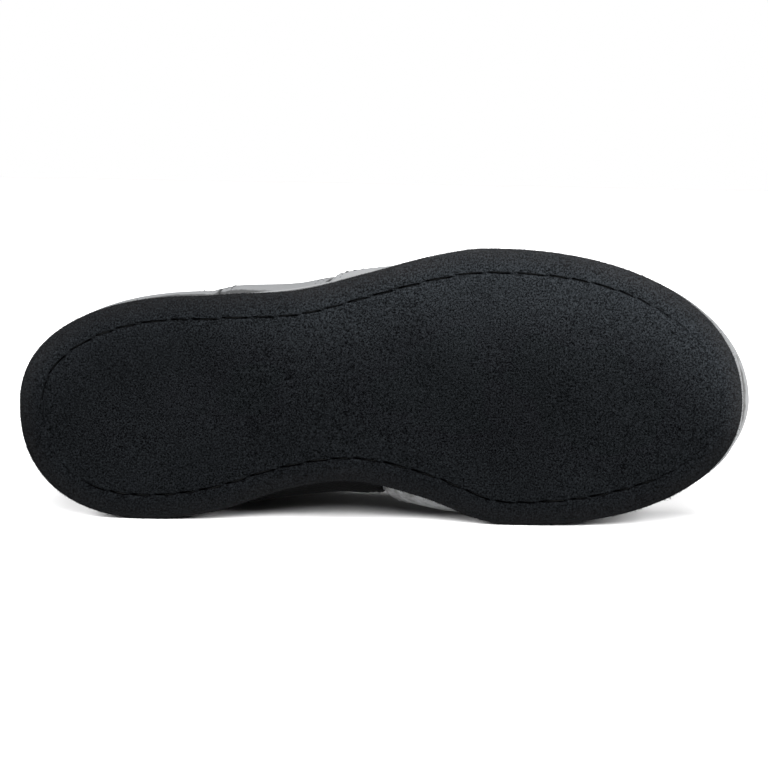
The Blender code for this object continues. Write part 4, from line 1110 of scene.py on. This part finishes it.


# Side straps
# A strap on each side, from the eyestay down to the sole, skived thin at its edges; the outer one is sewn
# along them.
# The outer one is grey synthetic leather. The inner one, wider at the arch, is thicker, and its near black is
# painted shade for the dark under the arch.
STRAP_BACK = (Border(-9, 84), Border(40, 92), Border(80, 112), Border(112, 140))
STRAP_FRONT = {
    MEDIAL: (Border(-9, 156), Border(20, 157), Border(45, 164), Border(112, 220)),
    LATERAL: (Border(-9, 130), Border(12, 133.2), Border(45, 158), Border(112, 220)),
}
STRAP_THICK, STRAP_EDGE = {MEDIAL: 2.6, LATERAL: 1.6}, (0.9, 9.0)
STRAP_COLUMNS, STRAP_ROWS, STRAP_SEAM_STOP = 56, 130, -8
STRAP_TOP_RANGE, STRAP_TOP_WIDTH = (60.0, 112.0), 1.0
STAY_DARK, STAY_SHADE = (0.0135, 0.0141, 0.015, 1.0), (0.009, 0.0094, 0.01, 1.0)
# Painted shade: the inner strap is coloured near black, as the shade under the arch.
ARCH_PAINTED_SHADE_BLACK, ARCH_PAINTED_SHADE_MOTTLE = (0.0022, 0.0022, 0.0023, 1.0), (0.0014, 0.0014, 0.0015, 1.0)
dark_synthetic = synthetic_finish("dark_synthetic", STAY_DARK, STAY_SHADE, 800.0, gloss=0.04)
shade_black_synthetic = synthetic_finish("shade_black_synthetic", ARCH_PAINTED_SHADE_BLACK, ARCH_PAINTED_SHADE_MOTTLE, 800.0, gloss=0.02)
strap_looks = {
    MEDIAL: (shade_black_synthetic, "eyestay_synthetic"),
    LATERAL: (guard_synthetic, "guard_synthetic"),
}


def strap_ends(side, level):
    """Distances from the ridge to the strap's front, or to the eyestay, and to its back."""
    stay = throat_edge(side, level) + EYESTAY_WIDTH + GAP
    front = station_length(side, level, float(through(STRAP_FRONT[side], level)))
    return max(front, stay), station_length(side, level, float(through(STRAP_BACK, level)))


def add_strap(side):
    """Strap of one side, and the stitches of the outer one."""
    def across(level):
        row = np.linspace(*strap_ends(side, level), STRAP_COLUMNS)
        return row if side == MEDIAL else -row[::-1]

    def width(level):
        front, back = strap_ends(side, level)
        return back - front - STRAP_TOP_WIDTH

    top = meeting_level(*STRAP_TOP_RANGE, width)
    grid, normals = skin_sheet(np.linspace(OVERLAY_FOOT, top, STRAP_ROWS), across)
    points, faces, rubbed = layer_on_upper(grid, normals, side_border(grid), STRAP_THICK[side], STRAP_EDGE)
    name = f"side_strap_{SIDE_NAMES[side]}"
    finish, slot = strap_looks[side]
    add_piece(f"{name}_sewn", points, faces, [finish], slot, [name], rubbed=rubbed)
    if side == LATERAL:
        for edge in ((slice(None, STRAP_SEAM_STOP), 0), (slice(STRAP_SEAM_STOP, None, -1), -1)):
            sew(grid[edge], normals[edge], STRAP_THICK[side], STRAP_EDGE)


for side in SIDE_NAMES:
    add_strap(side)


# Eyestay
# A U-shaped band of dark synthetic leather that stiffens both edges of the throat and closes round its foot.
# It is sewn down along its outer and its inner edge, and punched for twelve eyelets.
EYESTAY_FOOT, EYESTAY_THICK, EYESTAY_EDGE = 42.0, 1.6, (1.4, 0.1)
STAY_COLUMNS, STAY_ROWS, STAY_CORNER, STAY_BEND_LEVEL = 40, (20, 30, 210), 9.0, 52.0


def stay_across(side, level):
    """Columns of one side of the band at a level, from the throat's edge, rounded at its foot."""
    edge = throat_edge(side, level)
    from_foot = np.diff(np.interp((EYESTAY_FOOT, level), ridge_levels, ridge_lengths))[0]
    corner = max(0.0, 1.0 - from_foot / STAY_CORNER)
    width = EYESTAY_WIDTH - GAP - STAY_CORNER * (1.0 - math.sqrt(1.0 - corner ** 2))
    row = np.linspace(edge, edge + width, STAY_COLUMNS)
    return row if side == MEDIAL else -row[::-1]


def stay_outside(grids):
    """Outer edge of the band: down the inner side, across the foot and up the outer side."""
    inner, outer = grids[MEDIAL], grids[LATERAL]
    return np.concatenate((inner[::-1, -1], inner[0, -2::-1], outer[0, -2::-1], outer[1:, 0]))


def stay_inside(grids):
    """Edge of the throat: down the inner side and up the outer side."""
    return np.concatenate((grids[MEDIAL][throat_rows, 0][::-1], grids[LATERAL][throat_rows, -1]))


stay_tops = THROAT_LEVEL, STAY_BEND_LEVEL, COLLAR_LEVEL
stay_levels = level_rows(EYESTAY_FOOT, *zip(stay_tops, STAY_ROWS), between=evenly_up_the_ridge)
throat_rows = stay_levels > THROAT_LEVEL
stay_sheets = {side: skin_sheet(stay_levels, lambda level: stay_across(side, level)) for side in SIDE_NAMES}
stay_grids, stay_normals = ({side: sheet[part] for side, sheet in stay_sheets.items()} for part in (0, 1))
throat_columns = {MEDIAL: 0, LATERAL: -1}
stay_border = np.concatenate([even_run(line, BORDER_STEP) for side, grid in stay_grids.items() for line in (
    grid[:, -1 - throat_columns[side]], grid[throat_rows, throat_columns[side]], grid[0], grid[-1],
)])
stay_parts = []
for grid, normals in stay_sheets.values():
    sheet = punched(grid, grid_faces(*grid.shape[:2]))
    stay_parts.append(layer_on_upper(grid, normals, stay_border, EYESTAY_THICK, EYESTAY_EDGE, sheet))
sew(stay_outside(stay_grids), stay_outside(stay_normals), EYESTAY_THICK, EYESTAY_EDGE, SEAM_ROWS[:1])
sew(stay_inside(stay_grids), stay_inside(stay_normals), EYESTAY_THICK, EYESTAY_EDGE, SEAM_ROWS[:1], -1.0)
stay_points, stay_faces = join_meshes([part[:2] for part in stay_parts])
add_piece("eyestay_band", stay_points, stay_faces, [dark_synthetic], "eyestay_synthetic", ["eyestay"],
          rubbed=np.concatenate([part[2] for part in stay_parts]))


# Seam stitches
# Grey bonded thread of all the rows that hold the guards, the outer strap and the eyestay on the upper.
# Each stitch is pulled a little into what it holds.
THREAD_GREY = (0.15, 0.153, 0.158, 1.0)
grey_thread = thread_finish("grey_thread", THREAD_GREY)
add_piece("seam_stitches", *join_meshes(seam_stitches), [grey_thread], "guard_synthetic")


# Collar
# A foam-padded cuff of dark knit cloth round the ankle. It is sewn on below, swells half-way up and rolls
# over the top of the upper to the inside.
COLLAR_FOOT, COLLAR_INSIDE_FOOT = 119.0, 126.0
COLLAR_PAD, COLLAR_EDGE_SHARE, COLLAR_INSIDE_PAD = 5.0, 0.3, 3.6
COLLAR_END_ROUND = 9.0
COLLAR_HEM, COLLAR_INSIDE_HEM = ((-0.4, -0.6), (-0.3, 0.7)), (-0.4, 0.4)
COLLAR_END_DEPTH, COLLAR_INSIDE_FULL = -0.3, 0.8
COLLAR_PUCKER, COLLAR_PUCKER_LENGTH, COLLAR_PUCKER_SWAY, COLLAR_PUCKER_RISE = 0.22, 7.5, 9.0, 5.0
COLLAR_COLUMNS, COLLAR_OUTSIDE_ROWS, COLLAR_ROLL_ROWS, COLLAR_INSIDE_ROWS = 120, 22, 9, 16
KNIT_PITCH = 1.6
PAD_DARK, PAD_LIGHT = (0.009, 0.0095, 0.0105, 1.0), (0.03, 0.0315, 0.0345, 1.0)


def collar_across(level):
    """Columns of the cuff at a level, from the inner eyestay round the heel to the outer one."""
    sides = []
    for side in SIDE_NAMES:
        start = throat_edge(side, level) + EYESTAY_WIDTH + 2 * GAP
        sides.append(np.linspace(start, slice_length(side, level), COLLAR_COLUMNS))
    return np.concatenate((sides[0], -sides[1][-2::-1]))


def lifted_row(level, across_at, heights):
    """Row of points over the upper's outer face, at heights from it."""
    row, ways_out = skin_near(level, across_at)
    return row + ways_out * np.asarray(heights)[..., None]


up_share = np.linspace(0.0, 1.0, COLLAR_OUTSIDE_ROWS)
outside = COLLAR_PAD * mix(COLLAR_EDGE_SHARE, 1.0, np.sin(math.pi * up_share)) + GAP
inside_share = np.linspace(1.0, 0.0, COLLAR_INSIDE_ROWS)
inside_swell = np.sin(math.pi * inside_share) ** COLLAR_INSIDE_FULL
inside_pad = -WALL - COLLAR_INSIDE_PAD * mix(COLLAR_EDGE_SHARE, 1.0, inside_swell)
roll = np.linspace(0.0, math.pi, COLLAR_ROLL_ROWS + 2)[1:-1]
roll_middle, roll_radius = (outside[-1] + inside_pad[0]) / 2, (outside[-1] - inside_pad[0]) / 2
collar_profile = np.concatenate((
    np.array(COLLAR_HEM) + (COLLAR_FOOT, 0.0),
    np.stack((mix(COLLAR_FOOT, COLLAR_LEVEL, up_share), outside), axis=-1),
    np.stack((COLLAR_LEVEL + roll_radius * np.sin(roll), roll_middle + roll_radius * np.cos(roll)), axis=-1),
    np.stack((mix(COLLAR_INSIDE_FOOT, COLLAR_LEVEL, inside_share), inside_pad), axis=-1),
    [np.array(COLLAR_INSIDE_HEM) + (COLLAR_INSIDE_FOOT, -WALL)],
))
collar_run = run_lengths(lifted_row(COLLAR_FOOT, collar_across, 0.0))
from_end = np.minimum(collar_run, collar_run[-1] - collar_run)
end_round = np.sqrt(1.0 - (1.0 - np.clip(from_end / COLLAR_END_ROUND, 0.0, 1.0)) ** 2)
pucker_sway = np.sin(collar_run / COLLAR_PUCKER_SWAY)
pucker = COLLAR_PUCKER * np.sin(collar_run * math.tau / COLLAR_PUCKER_LENGTH + pucker_sway)
padded_rows = []
for level, height in collar_profile:
    low = math.exp(-((level - COLLAR_FOOT - COLLAR_PUCKER_RISE) / COLLAR_PUCKER_RISE) ** 2)
    fullness = mix(COLLAR_END_DEPTH if height > -WALL / 2 else -WALL, height, end_round)
    padded_rows.append(lifted_row(level, collar_across, fullness + pucker * low * (height > 0.0)))
collar_points = np.array(padded_rows)
to_ground = np.array(boot.to_3x3())[2]
under_ground = np.minimum(collar_points @ to_ground + boot.translation.z / MM, 0.0)
collar_points -= under_ground[..., None] * to_ground
collar_ring = np.concatenate((collar_points, collar_points[:1]))
collar_rows, collar_columns = collar_ring.shape[:2]
facing_rows = np.stack((np.arange(collar_rows), np.arange(collar_rows)[::-1]), axis=-1)[:collar_rows // 2 + 1]
collar_ends = facing_rows.reshape(-1)[grid_faces(len(facing_rows), 2)] * collar_columns
collar_faces = np.concatenate((grid_faces(collar_rows, collar_columns), collar_ends,
                               collar_ends + collar_columns - 1))
collar_cloth = cloth_layer(collar_run, np.append(run_lengths(collar_profile), 0.0)[:, None])
padded_knit = mesh_cloth_finish("padded_knit", PAD_DARK, PAD_LIGHT, KNIT_PITCH)
collar = add_piece("collar_pad", collar_ring, collar_faces, [padded_knit], "padded_cloth", ["collar"],
                   cloth=collar_cloth)


# Tongue
# A foam-padded flap of the same dark knit under the throat, sewn in at its foot and free at its top.
# Sewn channels across it let it bend with the ankle.
TONGUE_FOOT, TONGUE_TOP, TONGUE_THICK = 43.0, 180.0, 5.0
TONGUE_HALF_FOOT, TONGUE_HALF_TOP = 21.0, 34.0
TONGUE_CORNER, TONGUE_CORNER_CUT = 145.0, 0.9
TONGUE_ROUND, TONGUE_PLAY = 7.0, 3 * GAP
TONGUE_ROWS, TONGUE_COLUMNS, TONGUE_BORDER_STEP = 130, 61, 1.0
CHANNEL_PITCH, CHANNEL_DEPTH, CHANNEL_REACH = 24.0, 0.9, 2.2


def tongue_across(level):
    """Columns of the tongue at a level, wider upwards and rounded at its top corners."""
    rise = (level - TONGUE_FOOT) / (TONGUE_TOP - TONGUE_FOOT)
    corner = np.clip((level - TONGUE_CORNER) / (TONGUE_TOP - TONGUE_CORNER), 0.0, 1.0)
    half = mix(TONGUE_HALF_FOOT, TONGUE_HALF_TOP, ease(rise))
    half = half * math.sqrt(1.0 - TONGUE_CORNER_CUT * corner ** 3)
    return np.linspace(-half, half, TONGUE_COLUMNS)


tongue_levels = evenly_up_the_ridge(TONGUE_FOOT, TONGUE_TOP, TONGUE_ROWS)
tongue_grid = skin_grid(tongue_levels, tongue_across)
tongue_normals = outward(tongue_grid)
tongue_border = np.concatenate((tongue_grid[:, 0], tongue_grid[-1], tongue_grid[::-1, -1], tongue_grid[0]))
from_edge = border_distance(tongue_grid, even_run(tongue_border, TONGUE_BORDER_STEP))
fullness = np.sqrt(1.0 - (1.0 - np.clip(from_edge / TONGUE_ROUND, 0.0, 1.0)) ** 2)
up_tongue = run_lengths(tongue_grid[:, TONGUE_COLUMNS // 2])[:, None]
to_channel = (up_tongue + CHANNEL_PITCH / 2) % CHANNEL_PITCH - CHANNEL_PITCH / 2
channel = CHANNEL_DEPTH * np.exp(-(to_channel / CHANNEL_REACH) ** 2) * ease(from_edge / TONGUE_ROUND)
middle_depth = -(WALL + TONGUE_PLAY + TONGUE_THICK / 2)
half_thick = fullness * TONGUE_THICK / 2 - channel
tongue_outer = tongue_grid + tongue_normals * (middle_depth + half_thick)[..., None]
tongue_inner = tongue_grid + tongue_normals * (middle_depth - half_thick)[..., None]
tongue_sheet = grid_faces(*tongue_grid.shape[:2])
tongue_points, tongue_faces, _, tongue_first = shell(tongue_outer, tongue_inner, tongue_sheet)
tongue_cloth = cloth_layer(np.array([tongue_across(level) for level in tongue_levels]), up_tongue)
tongue = add_piece("tongue_pad", tongue_points, tongue_faces, [padded_knit], "padded_cloth", ["tongue"],
                   cloth=np.tile(tongue_cloth[tongue_first], (2, 1)))


# Eyelets
# Two-part brass eyelets with a dark gunmetal finish, six on each side.
# Each is set through eyestay and upper, and its barrel is rolled over inside.
Turned = namedtuple("Turned", "radius height")
EYELET_PROFILE = (
    Turned(4.75, -0.1), Turned(4.8, 0.25), Turned(4.6, 0.6), Turned(4.1, 0.92), Turned(3.5, 1.0),
    Turned(3.0, 0.85), Turned(2.65, 0.4), Turned(2.55, -0.4), Turned(2.55, -4.6), Turned(2.9, -4.8),
    Turned(3.9, -4.7), Turned(3.9, -4.3), Turned(2.9, -4.2), Turned(2.85, -0.2),
)
EYELET_SEGMENTS = 48
GUNMETAL, GUNMETAL_WORN = (0.13, 0.13, 0.138, 1.0), (0.3, 0.295, 0.285, 1.0)


def gunmetal_finish():
    """Plated metal, worn brighter in small patches."""
    finish, shader, place = new_finish("gunmetal", metallic=1.0)
    worn = sharpen(noise(place, 420.0, 4.0, 0.65), 3.0)
    feed(shader, "Base Color", blend(worn * 0.5, GUNMETAL, GUNMETAL_WORN))
    feed(shader, "Roughness", 0.28 + 0.2 * noise(place, 900.0))
    return finish


def skin_place(level, across):
    """Point of the upper's outer face and the way out of it."""
    row, ways_out = skin_near(level, lambda _: across + SLICE_STEP * np.array((-1.0, 0.0, 1.0)))
    return row[1], ways_out[1]


gunmetal = gunmetal_finish()
turn = np.arange(EYELET_SEGMENTS) * math.tau / EYELET_SEGMENTS
profile = np.array(EYELET_PROFILE + EYELET_PROFILE[:1])
ring = np.stack((profile[:, :1] * np.cos(turn), profile[:, :1] * np.sin(turn),
                 np.broadcast_to(profile[:, 1:], (len(profile), EYELET_SEGMENTS))), axis=-1)
ring_faces = grid_faces(len(profile), EYELET_SEGMENTS, closed=True)
for side in SIDE_NAMES:
    for number, level in enumerate(eyelet_levels, start=1):
        foot, normal = skin_place(level, side * (throat_edge(side, level) + EYELET_INSET))
        upright = np.array(Vector(normal).to_track_quat("Z", "X").to_matrix())
        seat = foot + normal * (OVERLAY_GAP + EYESTAY_THICK)
        name = f"eyelet_{SIDE_NAMES[side]}_{number}"
        add_piece(f"{name}_set", ring @ upright.T + seat, ring_faces, [gunmetal], "eyelet_metal", [name])


# Lace
# One round braided cord, laced criss-cross: it goes down through each eyelet, comes out under the edge of the
# eyestay and crosses to the next eyelet up. Both ends stop inside the top eyelets.
LACE_RADIUS = 1.7
LACE_SIDES, LACE_STEP, LACE_SAMPLES, LACE_TIP = 16, 0.7, 24, 0.01
LACE_INSIDE, LACE_INSIDE_SHARE, LACE_INSIDE_RISE, LACE_UNDER_EDGE = -6.5, 0.6, 1.2, -4.3
LACE_ON_TONGUE, LACE_SAG, LACE_ON_LACE, LACE_TO_EDGE = -1.5, 0.4, 1.8, 2.0
LACE_CLEAR, LACE_ARCH, LACE_TURN_DROP = 0.5, 0.5, 0.4
LACE_ON_STAY = OVERLAY_GAP + EYESTAY_THICK + LACE_RADIUS + LACE_CLEAR
LACE_ABOVE_EYELET, LACE_IN_EYELET = 1.0, -2.6
LACE_PAST_EDGE, LACE_OVER_EDGE, LACE_BEFORE_EYELET, LACE_TURN = 4.0, 1.5, 4.4, 1.6
BAR_MIDDLE_SHARE, BAR_MIDDLE_HEIGHT = 0.42, 2.4
BRAID_PITCH, BRAID_STRANDS = 3.4, 4.0
CORD_DARK, CORD_LIGHT = (0.006, 0.006, 0.0068, 1.0), (0.026, 0.0265, 0.029, 1.0)
Stop = namedtuple("Stop", "side level")


def lace_knot(first, second, share, height):
    """Point of the lace between two eyelets, at a height over the upper."""
    start = first.side * (throat_edge(first.side, first.level) + EYELET_INSET)
    end = second.side * (throat_edge(second.side, second.level) + EYELET_INSET)
    foot, normal = skin_place(mix(first.level, second.level, share), mix(start, end, share))
    return foot + normal * height


def crossing(first, second, over):
    """Lace from inside one eyelet, out under the throat's edge, over the tongue and down into the next."""
    spans = [throat_edge(stop.side, stop.level) + EYELET_INSET for stop in (first, second)]
    span = sum(spans)
    edge_a, edge_b = EYELET_INSET / span, 1.0 - EYELET_INSET / span
    middle = LACE_ON_LACE if over else LACE_ON_TONGUE
    knots = (
        (0.0, LACE_INSIDE), (edge_a * LACE_INSIDE_SHARE, LACE_INSIDE + LACE_INSIDE_RISE),
        (edge_a, LACE_UNDER_EDGE), (edge_a + LACE_PAST_EDGE / span, LACE_ON_TONGUE - LACE_SAG),
        (0.5, middle), (edge_b - LACE_PAST_EDGE / span, LACE_TO_EDGE),
        (edge_b + LACE_OVER_EDGE / span, LACE_ON_STAY),
        (1.0 - LACE_BEFORE_EYELET / span, LACE_ON_STAY + LACE_ARCH),
        (1.0 - LACE_TURN / span, LACE_ON_STAY - LACE_TURN_DROP),
        (1.0, LACE_ABOVE_EYELET), (1.0, LACE_IN_EYELET),
    )
    return [lace_knot(first, second, share, height) for share, height in knots]


def bottom_bar(first, second):
    """Lace between the lowest eyelets, down into both."""
    span = 2.0 * (throat_edge(first.side, first.level) + EYELET_INSET)
    half = [
        (0.0, LACE_IN_EYELET), (0.0, LACE_ABOVE_EYELET),
        (LACE_TURN / span, LACE_ON_STAY - LACE_TURN_DROP),
        (LACE_BEFORE_EYELET / span, LACE_ON_STAY + LACE_ARCH),
        ((EYELET_INSET - LACE_OVER_EDGE) / span, LACE_ON_STAY), (BAR_MIDDLE_SHARE, BAR_MIDDLE_HEIGHT),
    ]
    knots = half + [(1.0 - share, height) for share, height in reversed(half)]
    return [lace_knot(first, second, share, height) for share, height in knots]


def smooth_run(knots, step):
    """Smooth line through points, with points a step apart."""
    knots = np.array(knots)
    longer = np.concatenate((knots[:1] * 2 - knots[1:2], knots, knots[-1:] * 2 - knots[-2:-1]))
    share = np.linspace(0.0, 1.0, LACE_SAMPLES, endpoint=False)[:, None]
    runs = [
        bend(start, end, (end - before) / 2, (after - start) / 2, share)
        for before, start, end, after in zip(longer, longer[1:], longer[2:], longer[3:])
    ]
    return even_run(np.concatenate((*runs, knots[-1:])), step)


def cord(path):
    """Closed round tube along a path, with its turn and length for the braid."""
    ahead = unit(np.gradient(path, axis=0))
    side_way = unit(np.array((0.0, 0.0, 1.0)) - ahead * ahead[:, 2:])
    for row in range(1, len(path)):
        kept = side_way[row - 1] - ahead[row] * (side_way[row - 1] @ ahead[row])
        side_way[row] = kept / np.linalg.norm(kept)
    other_way = np.cross(ahead, side_way)
    around = np.linspace(0.0, math.tau, LACE_SIDES + 1)
    girth = np.full(len(path), LACE_RADIUS)
    girth[[0, -1]] = LACE_TIP
    tube = side_way[:, None] * np.cos(around)[:, None] + other_way[:, None] * np.sin(around)[:, None]
    points = path[:, None] + tube * girth[:, None, None]
    braid = cloth_layer(around, run_lengths(path)[:, None])
    return points.reshape(-1, 3), grid_faces(*points.shape[:2]), braid


def braid_finish():
    """Braided cord: two sets of slanted strands that cross."""
    finish, shader, place = new_finish("black_braid", roughness=0.7, sheen_weight=0.15)
    around, along = layer_ways(place, "braid")
    turns, rise = around * BRAID_STRANDS, along * (math.tau / BRAID_PITCH * 2)
    strands = crossed_waves(turns + rise, turns - rise)
    lit = sharpen(strands * 0.75 + noise(place, 1500.0) * 0.25, 1.5)
    feed(shader, "Base Color", blend(lit, CORD_DARK, CORD_LIGHT))
    bump(shader, strands + 0.3 * noise(place, 2500.0), 0.8, 0.4)
    return finish


first_stops = [Stop(MEDIAL if row % 2 == 0 else LATERAL, level) for row, level in enumerate(eyelet_levels)]
second_stops = [Stop(-stop.side, stop.level) for stop in first_stops]
first_knots, second_knots = [], []
for row in range(EYELET_PAIRS - 1):
    first_knots += crossing(first_stops[row], first_stops[row + 1], row % 2 == 0)
    second_knots += crossing(second_stops[row], second_stops[row + 1], row % 2 == 1)
lace_knots = second_knots[::-1] + bottom_bar(second_stops[0], first_stops[0]) + first_knots
lace_points, lace_faces, lace_braid = cord(smooth_run(lace_knots, LACE_STEP))
add_piece("lace_cord", lace_points, lace_faces, [braid_finish()], "lace_cord", ["laces"], braid=lace_braid)


# Floor
# A pale seamless sheet of paper under and behind the boot, laid flat.
# It is as wide as the camera can see.
FLOOR_SIZE = 30.0
FLOOR_PALE = (0.2, 0.2, 0.2, 1.0)
bpy.ops.mesh.primitive_plane_add(size=FLOOR_SIZE)
floor = bpy.context.object
floor.name = "floor"
paper, _, _ = new_finish("white_paper", base_color=FLOOR_PALE, roughness=0.9, specular_ior_level=0.1)
floor.data.materials.append(paper)


# Light
# A white studio: walls lit white to a little over the horizon and dimmer above, one wide soft lamp high over
# the boot, and low ones in front and at both ends that light the sheet alone and reach under the arch.
CEILING_LIGHT, WALL_TOP, CEILING_START = 0.3, 0.07, 0.22
Lamp = namedtuple("Lamp", "name place light width lights_boot")
LAMPS = (
    Lamp("top_lamp", (0.25, -0.4, 1.8), 5.6, 40.0, True),
    Lamp("front_lamp", (0.0, -1.7, 0.76), 24.0, 22.0, False),
    Lamp("heel_lamp", (-1.4, -0.9, 0.8), 26.0, 26.0, False),
    Lamp("toe_lamp", (1.4, -0.9, 0.8), 20.0, 26.0, False),
)
world = bpy.data.worlds.new("white_studio")
world.use_nodes = True
background = world.node_tree.nodes["Background"]
background.inputs["Color"].default_value = (1.0, 1.0, 1.0, 1.0)
direction = Signal(world.node_tree).node("TexCoord", {}, {}, "Generated")
height = direction.node("SeparateXYZ", {}, {"Vector": direction}, "Z")
ranges = {"From Min": WALL_TOP, "From Max": CEILING_START, "To Min": 1.0, "To Max": CEILING_LIGHT}
feed(background, "Strength", height.node("MapRange", {"clamp": True}, {"Value": height, **ranges}, "Result"))
bpy.context.scene.world = world
bpy.context.scene.view_settings.view_transform = "Standard"
sheet_only = bpy.data.collections.new("sheet_only")
sheet_only.objects.link(floor)
for lamp in LAMPS:
    light = bpy.data.lights.new(lamp.name, "SUN")
    light.energy = lamp.light
    light.angle = math.radians(lamp.width)
    stand = bpy.data.objects.new(lamp.name, light)
    stand.location = lamp.place
    stand.rotation_euler = Vector(lamp.place).to_track_quat("Z", "Y").to_euler()
    bpy.context.scene.collection.objects.link(stand)
    if not lamp.lights_boot:
        stand.light_linking.receiver_collection = sheet_only


# Camera
# It looks straight at the felt from low over the floor, a little from above.
# A long lens keeps the sole's outline true.
PICTURE_WIDTH = 328.9
LOOK_AT = Vector((156.5, -8.8, 0.0))
CAMERA_AWAY, CAMERA_RISE = 1300.0, math.radians(2.3)
SENSOR_WIDTH = 36.0
target = boot @ (LOOK_AT * MM)
backwards = Vector((0.0, -math.sin(CAMERA_RISE), -math.cos(CAMERA_RISE)))
picture_up = Vector((0.0, -math.cos(CAMERA_RISE), math.sin(CAMERA_RISE)))
facing = Matrix((picture_up.cross(backwards), picture_up, backwards)).transposed()
lens = bpy.data.cameras.new("camera")
lens.sensor_width = SENSOR_WIDTH
lens.lens = SENSOR_WIDTH * CAMERA_AWAY / PICTURE_WIDTH
camera = bpy.data.objects.new("camera", lens)
looking = boot.to_3x3() @ facing
camera.matrix_world = Matrix.Translation(target + looking.col[2] * CAMERA_AWAY * MM) @ looking.to_4x4()
bpy.context.scene.collection.objects.link(camera)
bpy.context.scene.camera = camera
